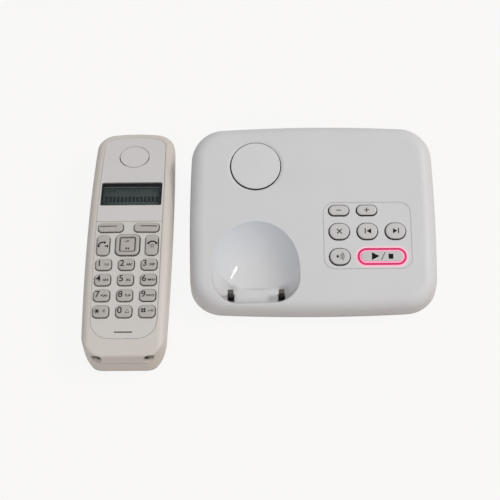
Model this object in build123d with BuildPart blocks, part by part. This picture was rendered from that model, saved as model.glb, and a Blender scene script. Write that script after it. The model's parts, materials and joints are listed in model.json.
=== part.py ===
from build123d import *
import os
from math import asin, cos, radians, sin, sqrt

os.makedirs("parts", exist_ok=True)

# Cordless phone: a handset lying on its back beside the base that charges it.
# Millimetres, +X right, +Y to the back of the base, +Z up, z = 0 on the table.

# Layout on the table
handset_gap = 9.8  # clear space between handset and base
base_setback = 9.6  # base centre behind the handset's centre

# Handset housing
handset_length = 148.8
handset_width = 45.6
handset_thickness = 24.0  # at the apex of the front face
handset_wall = 2.0
handset_parting = 10.5  # height of the joint between the two halves
handset_side_radius = 2740.0  # bulge of the long sides in plan
handset_belly_y = 3.1  # where the handset is widest
face_apex_y = 6.1
face_drop = 5.87  # the front face falls by this much from its apex to the top end
back_lift = 4.32  # the back rises by this much to the top end
back_lift_length = 37.5
top_crown = 2.6  # bulge of the top end in plan
top_corner_radius = 11.5
front_edge_radius = 4.6
back_edge_radius = 9.0
foot_corner_radius = 16.0
foot_slant = 2.4  # the fold stands this far back from the end of the foot
foot_fold_radius = 1.8
foot_heel_radius = 6.0
foot_overrun = 5.5  # housing is drawn past the foot by this much before it is trimmed
foot_relief = 0.05  # the foot's corners run out this far outside the sides

# Inlaid panels of the handset's front
seam_inset = 4.85  # from the outline to the seam
seam_gap = 0.12
panel_thickness = 1.2
divider_y = 7.0
keypad_bottom_inset = 11.5  # from the end of the foot
keypad_bottom_crown = 1.2
keypad_corner_radius = 10.0
earpiece_inset = 20.5  # from the top end
earpiece_radius = 8.3
earpiece_groove = 0.5
earpiece_slot_angle = 55.0
earpiece_slot_width = 0.75
window_inset = 48.3  # from the top end
window_margin = 1.25  # from the seam to the window's sides
window_height = 16.2
window_corner = 1.0
window_thickness = 1.0
window_clearance = 0.1
microphone_inset = 15.1  # from the end of the foot
microphone_slot_length = 9.7
microphone_slot_width = 0.8
microphone_radius = 3.0
microphone_length = 2.5

# Handset keys
key_clearance = 0.25  # between a key and the edge of its opening
key_rise = 1.1
key_edge_chamfer = 0.5
key_flange_margin = 0.5
key_flange_thickness = 0.8
key_flange_gap = 0.12  # between a key's flange and the inside of the housing
keypad_margin = 1.6  # from the seam to the number keys
key_column_gap = 3.53
key_row_gap = 2.15
first_row_y = -20.8
last_row_rise = 11.11  # from the microphone to the last row of keys
number_key_side = 2.6  # straight stretch of a number key's short side
wide_key_margin = 1.5  # from the seam to the softkeys and the call keys
softkey_gap = 5.8
softkey_y = 2.55
softkey_height = 6.0
softkey_corner = 2.2
softkey_turn = 1.0
call_key_gap = 3.1  # between a call key and the navigation key
call_key_y = -8.8
call_key_width = 6.9
call_key_height = 13.0
call_key_corner = 2.8
nav_key_y = -8.55
nav_key_height = 13.4
nav_key_corner = 3.2
nav_key_clearance = 0.4
nav_flange_gap = 0.55  # room for the flange to rock
nav_rim_width = 2.35
nav_rim_height = 2.9
nav_plate_corner = 0.9
nav_groove = 0.55

# Inside the handset
battery_radius = 5.2
battery_length = 43.5
battery_nub_radius = 1.9
battery_nub_length = 0.9
battery_contact_thickness = 0.4
battery_contact_width = 8.4
battery_spring_taper = 10.0
battery_end_gap = 2.4
battery_inset = 47.5  # from the end of the foot to the middle of the cells
battery_spacing = 11.2
battery_clearance = 0.3
battery_wall = 1.2
cover_margin = 7.0
cover_reach = 30.0  # from the middle of the cells to the cover's top end
cover_clearance = 0.2
cover_grips = 5
cover_grip_length = 16.0
cover_grip_width = 1.0
cover_grip_pitch = 2.4
cover_grip_depth = 0.5
cover_grip_inset = 11.0  # from the cover's top end to the middle of the grooves
handset_board_thickness = 1.0
handset_board_margin = 6.0
handset_board_low_inset = 19.5
handset_board_high_inset = 9.5
handset_board_corner = 6.0
handset_mat_thickness = 1.0
handset_post_radius = 1.6
post_sides = 8
display_border = 1.6  # the display is wider than the window by this much on each side
display_end = 2.9
display_thickness = 5.4
receiver_radius = 7.0
receiver_length = 2.2
ringer_radius = 8.0
ringer_length = 4.0
ringer_inset = 25.5  # from the top end
ringer_slots = 3
ringer_slot_pitch = 3.0
ringer_slot_width = 1.2
handset_screw_side = 11.5  # from the handset's side
handset_screw_inset = 15.5  # from the top end
handset_boss_radius = 2.4
handset_screw_radius = 0.9
handset_screw_length = 5.0  # of the thread in the front half
handset_head_radius = 1.7
handset_head_height = 1.4
handset_head_recess = 1.9
handset_head_z = 6.0

# Charging contacts, shared by handset and base
contact_spacing = 27.1
contact_width = 3.0
contact_recess = 1.6
contact_block = 3.0
contact_slot_rise = 2.9  # over the joint between the handset's halves
contact_slot_margin = 1.2
contact_slot_height = 5.0

# Base housing
base_width = 133.5
base_depth = 104.2
base_height = 28.85  # height of the sloped top over the middle of the base
base_slope = 15.66  # degrees, rising to the back
base_wall = 2.2
base_corner_radius = 18.0
base_side_crown = 1.4
base_end_crown = 2.4
base_top_radius = 8.0
base_bottom_radius = 4.0
base_parting = 5.2
foot_height = 1.2  # clearance under the housing
foot_radius = 6.0
foot_recess = 0.9
foot_edge_chamfer = 0.4
foot_inset_x = 18.0
foot_inset_y = 16.0

# Cradle: a bowl for the handset's foot, with a ledge at the front
cradle_side = 12.75  # from the base's side to the cradle
cradle_half_width = 23.3
cradle_half_length = 25.8
cradle_rise = 23.0  # centre of the bowl over the sloped top
cradle_front_margin = 3.3  # from the base's front edge
cradle_front_radius = 13.0
cradle_reach = 18.47  # from the cradle's front to its widest place
cradle_ledge_depth = 11.6
cradle_ledge_height = 9.0
cradle_ledge_side = 5.0  # from the cradle's side to the flat of the ledge
cradle_ledge_corner = 5.5
cradle_ledge_draft = 45.0
cradle_wall = 2.0
contact_reach = 7.6  # from the cradle's front to the prongs
prong_width = 3.0
contact_thickness = 0.6
contact_slot_width = 3.6
contact_root_z = 4.0
contact_top = 15.0
contact_root = 4.0
contact_hook = 2.2
contact_bend = 0.9
contact_swing = 1.2  # room for the prong to give way

# Base keys, placed on the sloped top: x across, s up the slope
base_key_clearance = 0.3
base_key_rise = 1.0
base_key_edge_chamfer = 0.6
base_key_flange_margin = 0.8
base_key_flange_thickness = 0.8
base_key_flange_gap = 0.15
paging_inset = 27.9  # from the back edge, down the slope
paging_radius = 13.7
paging_rise = 0.2
paging_edge_chamfer = 0.2
paging_dish_radius = 15.6
paging_dish_depth = 0.4
base_key_side = 3.05  # from the panel's edge to its keys
base_key_gap = 3.9
volume_s = -0.2
track_s = -12.2
play_s = -26.4
base_key_end_flat = 0.1  # straight stretch left between the round corners of a key
pill_height = 6.1
round_height = 9.4
play_margin = 3.1  # the play key is shorter than two keys and their gap by this much
play_height = 6.4
play_ring_width = 1.5
play_ring_rise = 0.35
play_ring_flange = 0.8
panel_s = -14.3
panel_gap = 12.8  # between cradle and panel
panel_side = 14.15  # from the panel to the base's side
panel_height = 37.8
panel_corner = 6.0
groove_width = 0.35
groove_depth = 0.22

# Inside and under the base
base_mat_thickness = 1.2
base_mat_drop = 5.2  # from the sloped top down to the mat
base_post_radius = 2.4
paging_switch_width = 6.0
paging_switch_stem = 1.2
base_board_thickness = 1.6
base_board_front = 36.0
base_board_back = 40.0
base_board_side_inset = 15.75
base_board_margin = 4.4  # beside the panel
base_board_strip = 2.0
base_pillar_radius = 3.4
base_screw_radius = 1.3
base_screw_length = 11.0
base_screw_head_radius = 2.7
base_screw_head_height = 1.8
base_head_z = 3.5
base_pillar_side = 9.25  # from the base's side
base_pillar_front = 30.1  # from the base's front edge
base_pillar_back = 22.1
speaker_y = 8.0
speaker_radius = 17.0
speaker_height = 8.0
speaker_frame_height = 4.5
speaker_slots = 7
speaker_slot_pitch = 4.0
speaker_slot_width = 1.4
well_x = -16.0
well_width = 38.0
well_front_y = 18.0
well_height = 16.0
well_wall = 1.6
well_clearance = 0.4
cable_notch = 6.0
socket_spacing = 17.0
socket_width = 12.0
socket_length = 13.0
socket_height = 10.5
socket_mouth_width = 8.0
socket_mouth_height = 6.8
socket_mouth_depth = 9.0
socket_latch_width = 3.6
socket_latch_height = 1.6
socket_fit = 0.1

# Places worked out from the sizes above
top_y = handset_length / 2
foot_y = -handset_length / 2
earpiece_y = top_y - earpiece_inset
window_y = top_y - window_inset
ringer_y = top_y - ringer_inset
handset_board_low_y = foot_y + handset_board_low_inset
handset_board_high_y = top_y - handset_board_high_inset
keypad_bottom_y = foot_y + keypad_bottom_inset
microphone_y = foot_y + microphone_inset
battery_y = foot_y + battery_inset
cover_top_y = battery_y + cover_reach
panel_half = handset_width / 2 - seam_inset
window_width = 2 * (panel_half - window_margin)
display_width = window_width + 2 * display_border
display_depth = window_height + 2 * display_end
number_key_width = (2 * (panel_half - keypad_margin) - 2 * key_column_gap) / 3
key_columns = number_key_width + key_column_gap
key_rows = (first_row_y - microphone_y - last_row_rise) / 3
number_key_height = key_rows - key_row_gap
number_key_corner = (number_key_height - number_key_side) / 2
wide_key_x = panel_half - wide_key_margin
softkey_width = wide_key_x - softkey_gap / 2
softkey_x = (wide_key_x + softkey_gap / 2) / 2
call_key_x = wide_key_x - call_key_width / 2
nav_key_width = 2 * (wide_key_x - call_key_width - call_key_gap)
nav_plate_width = nav_key_width - 2 * nav_rim_width
nav_plate_height = nav_key_height - 2 * nav_rim_height
cover_width = handset_width - 2 * cover_margin
handset_board_width = handset_width - 2 * handset_board_margin
handset_screw_x = handset_width / 2 - handset_screw_side
handset_screw_y = top_y - handset_screw_inset
set_width = handset_width + handset_gap + base_width
handset_x = (handset_width - set_width) / 2
base_x = (set_width - base_width) / 2
handset_floor = Plane(origin=(handset_x, 0, 0))
handset_side = Plane(origin=(handset_x, 0, 0), x_dir=(0, 1, 0), z_dir=(1, 0, 0))
base_floor = Plane(origin=(base_x, base_setback, foot_height))
base_lean = radians(base_slope)
base_top = Plane(
    origin=(base_x, base_setback, base_height),
    x_dir=(1, 0, 0),
    z_dir=(0, -sin(base_lean), cos(base_lean)),
)
cradle_x = cradle_side + cradle_half_width - base_width / 2
panel_width = base_width - cradle_side - 2 * cradle_half_width - panel_gap - panel_side
panel_x = base_width / 2 - panel_side - panel_width / 2
base_key_width = (panel_width - 2 * base_key_side - 2 * base_key_gap) / 3
base_column_pitch = base_key_width + base_key_gap
play_width = 2 * base_key_width + base_key_gap - play_margin
cradle_front_y = cradle_front_margin - base_depth / 2
cradle_ledge_y = cradle_front_y + cradle_ledge_depth
cradle_s = (cradle_front_y + cradle_reach) / cos(base_lean)
contact_y = cradle_front_y + contact_reach
paging_s = base_depth / 2 / cos(base_lean) - paging_inset
base_board_side = base_width / 2 - base_board_side_inset
base_board_left = panel_x - panel_width / 2 - base_board_margin
board_z = handset_wall + 2 * (battery_clearance + battery_radius) + battery_wall
mat_z = board_z + handset_board_thickness


def arc_radius(run, rise):
    """Radius of an arc that starts level and rises by rise over run."""
    return (run**2 + rise**2) / (2 * rise)


face_radius = arc_radius(top_y - face_apex_y, face_drop)
face_centre_z = handset_thickness - face_radius
back_radius = arc_radius(back_lift_length, back_lift)
back_flat_end_y = top_y - back_lift_length


def face_height(y, depth=0.0):
    """Height of the handset's front face at y, or of the surface depth below it."""
    return face_centre_z + sqrt((face_radius - depth) ** 2 - (y - face_apex_y) ** 2)


def face_plane(x, y, turn=0.0):
    """A plane that lies on the handset's front face at (x, y), turned in its own plane."""
    lean = asin((y - face_apex_y) / face_radius)
    normal = (0, sin(lean), cos(lean))
    across = (cos(radians(turn)), sin(radians(turn)) * cos(lean), -sin(radians(turn)) * sin(lean))
    return Plane(origin=(handset_x + x, y, face_height(y)), x_dir=across, z_dir=normal)


def back_height(y, inset):
    """Height of the handset's back where it curves up to the top end."""
    return back_radius - sqrt((back_radius - inset) ** 2 - (y - back_flat_end_y) ** 2)


def half_width(y):
    """Half the handset's width at y."""
    return handset_width / 2 - (y - handset_belly_y) ** 2 / (2 * handset_side_radius)


def handset_plan(inset):
    """The handset seen from above, drawn in by inset, running on past the foot."""
    crown_y = top_y - inset
    stations = (foot_y - foot_overrun, handset_belly_y, crown_y - top_crown)
    sides = [(half_width(y) - inset, y) for y in stations]
    with BuildSketch() as plan:
        with BuildLine():
            left = ThreePointArc(*[(-x, y) for x, y in sides])
            ThreePointArc(left @ 1, (0, crown_y), sides[-1])
            right = ThreePointArc(*reversed(sides))
            Line(right @ 1, left @ 0)
        make_face()
        fillet(plan.vertices().group_by(Axis.Y)[-1], top_corner_radius - inset)
    return plan.sketch


def handset_form(inset, soften):
    """The handset's form, drawn in by inset; soften is the operation that takes off its edges."""
    low_y = foot_y - 2 * foot_overrun
    high_y = top_y + foot_overrun
    heel = foot_heel_radius - inset
    end_y = foot_y + inset
    with BuildPart() as form:
        with BuildSketch(handset_floor):
            add(handset_plan(inset))
        extrude(amount=2 * handset_thickness)
        with BuildSketch(handset_side):
            with BuildLine():
                face = ThreePointArc(*[(y, face_height(y, inset)) for y in (low_y, face_apex_y, high_y)])
                back_y = (back_flat_end_y + high_y) / 2
                back = ThreePointArc(
                    (high_y, back_height(high_y, inset)),
                    (back_y, back_height(back_y, inset)),
                    (back_flat_end_y, inset),
                )
                Line(face @ 1, back @ 0)
                flat = Line(back @ 1, (low_y, inset))
                Line(flat @ 1, face @ 0)
            make_face()
        extrude(amount=handset_width, both=True, mode=Mode.INTERSECT)
        front_rim = form.faces().sort_by(Axis.Z)[-1].edges().sort_by(Axis.Y)[1:]
        soften(front_rim, front_edge_radius - inset)
        underside = form.faces().filter_by(lambda face: face.normal_at().Z < -0.9)
        back_rim = underside.edges().filter_by(lambda edge: abs(edge.tangent_at(0.5).X) < 0.999)
        back_rim += underside.edges().sort_by(Axis.Y)[-1:]
        soften(back_rim, back_edge_radius - inset)
        # The foot is trimmed to round corners in plan and to a slanted end with a round heel
        corner_y = end_y + foot_corner_radius - inset
        foot_half = half_width(corner_y) - inset + foot_relief
        with BuildSketch(handset_floor) as waste:
            with Locations((0, corner_y)):
                Rectangle(2 * handset_width, handset_width, align=(Align.CENTER, Align.MAX))
            with BuildSketch(mode=Mode.PRIVATE) as foot:
                with Locations((0, end_y)):
                    Rectangle(2 * foot_half, handset_length, align=(Align.CENTER, Align.MIN))
                fillet(foot.vertices().group_by(Axis.Y)[0], foot_corner_radius - inset)
            add(foot.sketch, mode=Mode.SUBTRACT)
        extrude(amount=2 * handset_thickness, both=True, mode=Mode.SUBTRACT)
        fold = (end_y + foot_slant, face_height(end_y + foot_slant, inset))
        with BuildSketch(handset_side):
            with BuildLine():
                toe = Line((fold[0] + foot_slant, 2 * handset_thickness), fold)
                slant = Line(toe @ 1, (end_y, foot_heel_radius))
                curve = RadiusArc(slant @ 1, (end_y + heel, inset), -heel)
                sole = Line(curve @ 1, (end_y + heel, -handset_thickness))
                edge = Line(sole @ 1, (end_y - handset_width, -handset_thickness))
                rise = Line(edge @ 1, (end_y - handset_width, 2 * handset_thickness))
                Line(rise @ 1, toe @ 0)
            make_face()
        extrude(amount=handset_width, both=True, mode=Mode.SUBTRACT)
    return form.part


def rounded_handset():
    """The handset's outside, with the fold at its foot rounded off."""
    with BuildPart() as form:
        add(handset_form(0, fillet))
        foot_edges = form.edges().filter_by(lambda edge: edge.center().Y < foot_y + foot_corner_radius)
        fillet(foot_edges.filter_by(lambda edge: edge.center().Z > handset_thickness / 2), foot_fold_radius)
    return form.part


def face_slab(top, bottom):
    """The slice of the handset between two depths below its front face."""
    low_y = foot_y - foot_overrun
    high_y = top_y + foot_overrun
    with BuildPart() as slab:
        with BuildSketch(handset_side):
            with BuildLine():
                upper = ThreePointArc(*[(y, face_height(y, top)) for y in (low_y, face_apex_y, high_y)])
                lower = ThreePointArc(*[(y, face_height(y, bottom)) for y in (high_y, face_apex_y, low_y)])
                Line(upper @ 1, lower @ 0)
                Line(lower @ 1, upper @ 0)
            make_face()
        extrude(amount=handset_width, both=True)
    return slab.part


def panel_field(gap):
    """Outline of the recess that both panels lie in, drawn in by gap."""
    bottom_y = keypad_bottom_y + gap
    with BuildSketch() as field:
        add(handset_plan(seam_inset + gap))
        with BuildLine():
            low = ThreePointArc(
                (-handset_width / 2, bottom_y + keypad_bottom_crown),
                (0, bottom_y),
                (handset_width / 2, bottom_y + keypad_bottom_crown),
            )
            right = Line(low @ 1, (handset_width / 2, handset_length))
            top = Line(right @ 1, (-handset_width / 2, handset_length))
            Line(top @ 1, low @ 0)
        make_face(mode=Mode.INTERSECT)
        fillet(field.vertices().group_by(Axis.Y)[0], keypad_corner_radius - gap)
    return field.sketch


def handset_key(name, x, y, width, height, corner, turn):
    """One sprung key of the handset, with a flange that holds it under the housing."""
    top = face_plane(x, y, turn)
    flange_top = handset_wall + key_flange_gap
    margin = 2 * key_flange_margin
    with BuildPart() as key:
        with BuildSketch(top.offset(-flange_top - key_flange_thickness)):
            Rectangle(width + margin, height + margin)
        extrude(amount=key_flange_thickness)
        with BuildSketch(top.offset(-flange_top)):
            RectangleRounded(width, height, corner)
        extrude(amount=flange_top + key_rise)
        chamfer(key.faces().sort_by(Axis(top.origin, top.z_dir))[-1].edges(), key_edge_chamfer)
    key.part.label = name
    export_step(key.part, f"parts/{name}.step")


def base_plane(x, s):
    """A plane on the sloped top of the base, x across and s up the slope from its middle."""
    return Plane(origin=base_top.from_local_coords((x, s, 0)), x_dir=base_top.x_dir, z_dir=base_top.z_dir)


def end_radius(width, height):
    """Corner radius that gives a base key of this size round ends."""
    return (min(width, height) - base_key_end_flat) / 2


def base_form(inset, soften):
    """The base's form, drawn in by inset; soften is the operation that takes off its edges."""
    side_x = base_width / 2 - inset
    end_y = base_depth / 2 - inset
    corner_x = side_x - base_side_crown
    corner_y = end_y - base_end_crown
    with BuildPart() as form:
        with BuildSketch(base_floor.offset(inset)) as plan:
            with BuildLine():
                front = ThreePointArc((-corner_x, -corner_y), (0, -end_y), (corner_x, -corner_y))
                right = ThreePointArc(front @ 1, (side_x, 0), (corner_x, corner_y))
                back = ThreePointArc(right @ 1, (0, end_y), (-corner_x, corner_y))
                ThreePointArc(back @ 1, (-side_x, 0), front @ 0)
            make_face()
            fillet(plan.vertices(), base_corner_radius - inset)
        extrude(amount=base_depth)
        split(bisect_by=base_top.offset(-inset), keep=Keep.BOTTOM)
        soften(form.faces().sort_by(Axis.Z)[-1].edges(), base_top_radius - inset)
        soften(form.faces().sort_by(Axis.Z)[0].edges(), base_bottom_radius - inset)
    return form.part


def cradle_form(grow):
    """The hollow of the cradle, grown by grow on every side."""
    centre = base_top.from_local_coords((cradle_x, cradle_s, cradle_rise))
    bowl_radius = sqrt(cradle_half_length**2 + cradle_rise**2)
    bowl_half_width = cradle_half_width * bowl_radius / cradle_half_length
    across = Plane(origin=centre, x_dir=(1, 0, 0), z_dir=(0, -1, 0))
    front_y = base_setback + cradle_front_y - grow
    with BuildPart() as form:
        with BuildSketch(across):
            with BuildLine():
                arc = EllipticalCenterArc((0, 0), bowl_half_width + grow, bowl_radius + grow, arc_size=180)
                Line(arc @ 1, arc @ 0)
            make_face()
        revolve(axis=Axis(centre, (1, 0, 0)))
        with BuildSketch(across):
            Ellipse(bowl_half_width + grow, bowl_radius + grow)
        extrude(amount=base_depth)
        with BuildSketch(Plane(origin=(centre.X, front_y, cradle_ledge_height - grow))):
            ledge_width = 2 * (cradle_half_width - cradle_ledge_side + grow)
            ledge_depth = cradle_ledge_depth + 2 * grow
            with Locations((0, ledge_depth / 2)):
                RectangleRounded(ledge_width, ledge_depth, cradle_ledge_corner + grow)
        extrude(amount=cradle_ledge_depth, taper=-cradle_ledge_draft)
        with BuildSketch(Plane(origin=(centre.X, front_y, 0))):
            with Locations((0, base_depth / 2)):
                RectangleRounded(2 * (cradle_half_width + grow), base_depth, cradle_front_radius + grow)
        extrude(amount=base_depth, mode=Mode.INTERSECT)
        ledge_y = base_setback + cradle_ledge_y - grow
        with Locations((centre.X, ledge_y, 0)):
            ledge_align = (Align.CENTER, Align.MAX, Align.MIN)
            Box(base_width, base_depth, cradle_ledge_height - grow, align=ledge_align, mode=Mode.SUBTRACT)
    return form.part


def base_key(name, x, s, width, height, corner, drop=0.0):
    """One sprung key of the base; drop lowers its flange below a ring round the key."""
    top = base_plane(x, s)
    flange_top = base_wall + base_key_flange_gap + drop
    margin = 2 * base_key_flange_margin
    with BuildPart() as key:
        with BuildSketch(top.offset(-flange_top - base_key_flange_thickness)):
            Rectangle(width + margin, height + margin)
        extrude(amount=base_key_flange_thickness)
        with BuildSketch(top.offset(-flange_top)):
            RectangleRounded(width, height, corner)
        extrude(amount=flange_top + base_key_rise)
        chamfer(key.faces().sort_by(Axis(top.origin, top.z_dir))[-1].edges(), base_key_edge_chamfer)
    key.part.label = name
    export_step(key.part, f"parts/{name}.step")


# Where every key stands
number_names = ["key_1", "key_2", "key_3", "key_4", "key_5", "key_6", "key_7", "key_8", "key_9"]
number_names += ["key_star", "key_0", "key_hash"]
number_size = (number_key_width, number_key_height, number_key_corner, 0.0)
softkey_size = (softkey_width, softkey_height, softkey_corner)
call_size = (call_key_width, call_key_height, call_key_corner, 0.0)
handset_keys = [
    ("softkey_left", -softkey_x, softkey_y, *softkey_size, softkey_turn),
    ("softkey_right", softkey_x, softkey_y, *softkey_size, -softkey_turn),
    ("talk_key", -call_key_x, call_key_y, *call_size),
    ("end_key", call_key_x, call_key_y, *call_size),
]
for index, name in enumerate(number_names):
    column = index % 3 - 1
    row = index // 3
    handset_keys.append((name, column * key_columns, first_row_y - row * key_rows, *number_size))
pill_size = (base_key_width, pill_height, end_radius(base_key_width, pill_height))
round_size = (base_key_width, round_height, end_radius(base_key_width, round_height))
base_columns = [panel_x + step * base_column_pitch for step in (-1, 0, 1)]
play_x = (base_columns[1] + base_columns[2]) / 2
base_keys = [
    ("key_volume_down", base_columns[0], volume_s, *pill_size),
    ("key_volume_up", base_columns[1], volume_s, *pill_size),
    ("key_delete", base_columns[0], track_s, *round_size),
    ("key_previous", base_columns[1], track_s, *round_size),
    ("key_next", base_columns[2], track_s, *round_size),
    ("key_speaker", base_columns[0], play_s, *round_size),
]
play_corner = end_radius(play_width, play_height)
base_pillars = [
    (base_x + side * (base_width / 2 - base_pillar_side), base_setback + y, base_parting)
    for side in (-1, 1)
    for y in (base_pillar_front - base_depth / 2, base_depth / 2 - base_pillar_back)
]
foot_x = base_width / 2 - foot_inset_x
foot_end_y = base_depth / 2 - foot_inset_y
base_feet = [
    (base_x + side * foot_x, base_setback + end * foot_end_y, foot_height)
    for side in (-1, 1)
    for end in (-1, 1)
]
contact_places = [base_x + cradle_x + side * contact_spacing / 2 for side in (-1, 1)]
play_hole = play_ring_width + base_key_clearance

# Handset housing, before it is cut
handset_outer = rounded_handset()
handset_inner = handset_form(handset_wall, chamfer)

# Openings for the handset's keys: square in the housing, rounded in the keypad panel over it
nav_size = (nav_key_width, nav_key_height, nav_key_corner, 0.0)
opening_places = [(place, key_clearance) for place in handset_keys]
opening_places.append((("nav_key", 0, nav_key_y, *nav_size), nav_key_clearance))
with BuildPart() as housing_openings:
    for (name, x, y, width, height, corner, turn), clearance in opening_places:
        with BuildSketch(face_plane(x, y, turn)):
            Rectangle(width + 2 * clearance, height + 2 * clearance)
        extrude(amount=2 * handset_wall, both=True)
with BuildPart() as panel_openings:
    for (name, x, y, width, height, corner, turn), clearance in opening_places:
        with BuildSketch(face_plane(x, y, turn)):
            RectangleRounded(width + 2 * clearance, height + 2 * clearance, corner + clearance)
        extrude(amount=2 * handset_wall, both=True)
with BuildPart() as microphone_slot:
    with BuildSketch(face_plane(0, microphone_y)):
        SlotOverall(microphone_slot_length, microphone_slot_width)
    extrude(amount=2 * handset_wall, both=True)

with BuildPart() as panel_recess:
    with BuildSketch(handset_floor):
        add(panel_field(0))
    extrude(amount=2 * handset_thickness)
    add(face_slab(-handset_wall, panel_thickness), mode=Mode.INTERSECT)

# Screw bosses near the top end
floor_align = (Align.CENTER, Align.CENTER, Align.MIN)
handset_boss_top = face_height(handset_screw_y, handset_wall / 2)
handset_screw_places = [
    (handset_x - handset_screw_x, handset_screw_y, handset_parting),
    (handset_x + handset_screw_x, handset_screw_y, handset_parting),
]

# The charging contacts show in two slots in the foot
contact_slot_z = handset_parting + contact_slot_rise
contact_slot_length = contact_width + 2 * contact_slot_margin
foot_end_origin = (handset_x, foot_y - foot_overrun, contact_slot_z)
foot_end = Plane(origin=foot_end_origin, x_dir=(1, 0, 0), z_dir=(0, -1, 0))

with BuildPart() as handset_front_shell:
    add(handset_outer)
    add(handset_inner, mode=Mode.SUBTRACT)
    split(bisect_by=Plane.XY.offset(handset_parting), keep=Keep.TOP)
    with Locations(*handset_screw_places):
        Cylinder(handset_boss_radius, handset_boss_top - handset_parting, align=floor_align)
        Cylinder(handset_screw_radius, handset_screw_length, align=floor_align, mode=Mode.SUBTRACT)
    add(panel_recess.part, mode=Mode.SUBTRACT)
    add(housing_openings.part, mode=Mode.SUBTRACT)
    add(microphone_slot.part, mode=Mode.SUBTRACT)
    with BuildSketch(face_plane(0, window_y)):
        Rectangle(window_width + window_thickness, window_height + window_thickness)
    extrude(amount=2 * handset_wall, both=True, mode=Mode.SUBTRACT)
    with BuildSketch(face_plane(0, earpiece_y)):
        Circle(earpiece_radius + earpiece_groove)
    extrude(amount=2 * handset_wall, both=True, mode=Mode.SUBTRACT)
    with BuildSketch(foot_end):
        with Locations((-contact_spacing / 2, 0), (contact_spacing / 2, 0)):
            SlotOverall(contact_slot_length, contact_slot_height)
    extrude(amount=-foot_overrun - foot_corner_radius / 2, mode=Mode.SUBTRACT)
handset_front_shell.part.label = "handset_front_shell"
export_step(handset_front_shell.part, "parts/handset_front_shell.step")

# Battery bay in the back half
bay_width = battery_spacing + 2 * (battery_radius + battery_clearance)
bay_length = battery_length + 2 * battery_end_gap
with BuildPart() as battery_bay:
    with Locations((handset_x, battery_y, 0)):
        grow = 2 * battery_wall
        Box(bay_width + grow, bay_length + grow, board_z, align=floor_align)
        with GridLocations(0, bay_length + battery_wall, 1, 2):
            Box(handset_width, battery_wall, handset_parting - battery_wall, align=floor_align)
    add(handset_outer, mode=Mode.INTERSECT)

with BuildPart() as handset_back_shell:
    add(handset_outer)
    add(handset_inner, mode=Mode.SUBTRACT)
    split(bisect_by=Plane.XY.offset(handset_parting), keep=Keep.BOTTOM)
    add(battery_bay.part)
    with Locations((handset_x, battery_y, 0)):
        Box(bay_width, bay_length, board_z - battery_wall, align=floor_align, mode=Mode.SUBTRACT)
    with Locations((handset_x, cover_top_y + cover_clearance, 0)):
        cover_align = (Align.CENTER, Align.MAX, Align.MIN)
        opening = cover_width + 2 * cover_clearance
        Box(opening, handset_length, handset_wall, align=cover_align, mode=Mode.SUBTRACT)
    roof_align = (Align.CENTER, Align.CENTER, Align.MAX)
    with Locations(*handset_screw_places):
        Cylinder(handset_boss_radius, handset_parting, align=roof_align)
    add(handset_outer, mode=Mode.INTERSECT)
    with Locations(*handset_screw_places):
        Cylinder(handset_screw_radius, handset_parting, align=roof_align, mode=Mode.SUBTRACT)
    with Locations(*[(x, y, handset_head_z) for x, y, z in handset_screw_places]):
        Cylinder(handset_head_recess, handset_parting, align=roof_align, mode=Mode.SUBTRACT)
    with BuildSketch(Plane(origin=(handset_x, ringer_y, 0))):
        with GridLocations(0, ringer_slot_pitch, 1, ringer_slots):
            SlotOverall(ringer_radius, ringer_slot_width)
    extrude(amount=2 * handset_wall, mode=Mode.SUBTRACT)
handset_back_shell.part.label = "handset_back_shell"
export_step(handset_back_shell.part, "parts/handset_back_shell.step")

with BuildPart() as battery_cover:
    add(handset_outer)
    with Locations((handset_x, cover_top_y, 0)):
        cover_height = handset_wall - cover_clearance
        Box(cover_width, handset_length, cover_height, align=cover_align, mode=Mode.INTERSECT)
    with BuildSketch(Plane(origin=(handset_x, cover_top_y - cover_grip_inset, 0))):
        with GridLocations(0, cover_grip_pitch, 1, cover_grips):
            SlotOverall(cover_grip_length, cover_grip_width)
    extrude(amount=cover_grip_depth, mode=Mode.SUBTRACT)
battery_cover.part.label = "battery_cover"
export_step(battery_cover.part, "parts/battery_cover.step")

with BuildPart() as display_panel:
    with BuildSketch(handset_floor):
        add(panel_field(seam_gap))
        with Locations((0, divider_y + seam_gap)):
            Rectangle(handset_width, handset_length, align=(Align.CENTER, Align.MIN), mode=Mode.INTERSECT)
    extrude(amount=2 * handset_thickness)
    add(face_slab(0, panel_thickness), mode=Mode.INTERSECT)
    with BuildSketch(face_plane(0, window_y)):
        gap = 2 * window_clearance
        RectangleRounded(window_width + gap, window_height + gap, window_corner)
    extrude(amount=handset_wall, both=True, mode=Mode.SUBTRACT)
    with BuildSketch(face_plane(0, earpiece_y).offset(-panel_thickness / 2)):
        Circle(earpiece_radius + earpiece_groove / 2)
        Circle(earpiece_radius - earpiece_groove / 2, mode=Mode.SUBTRACT)
    extrude(amount=handset_wall, mode=Mode.SUBTRACT)
    with BuildSketch(face_plane(0, earpiece_y)):
        for start in (180, 360 - earpiece_slot_angle):
            slot = CenterArc((0, 0), earpiece_radius, start, earpiece_slot_angle, mode=Mode.PRIVATE)
            SlotArc(slot, earpiece_slot_width)
    extrude(amount=handset_wall, both=True, mode=Mode.SUBTRACT)
display_panel.part.label = "display_panel"
export_step(display_panel.part, "parts/display_panel.step")

with BuildPart() as keypad_panel:
    with BuildSketch(handset_floor):
        add(panel_field(seam_gap))
        with Locations((0, divider_y - seam_gap)):
            Rectangle(handset_width, handset_length, align=(Align.CENTER, Align.MAX), mode=Mode.INTERSECT)
    extrude(amount=2 * handset_thickness)
    add(face_slab(0, panel_thickness - seam_gap), mode=Mode.INTERSECT)
    add(panel_openings.part, mode=Mode.SUBTRACT)
    add(microphone_slot.part, mode=Mode.SUBTRACT)
keypad_panel.part.label = "keypad_panel"
export_step(keypad_panel.part, "parts/keypad_panel.step")

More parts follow.
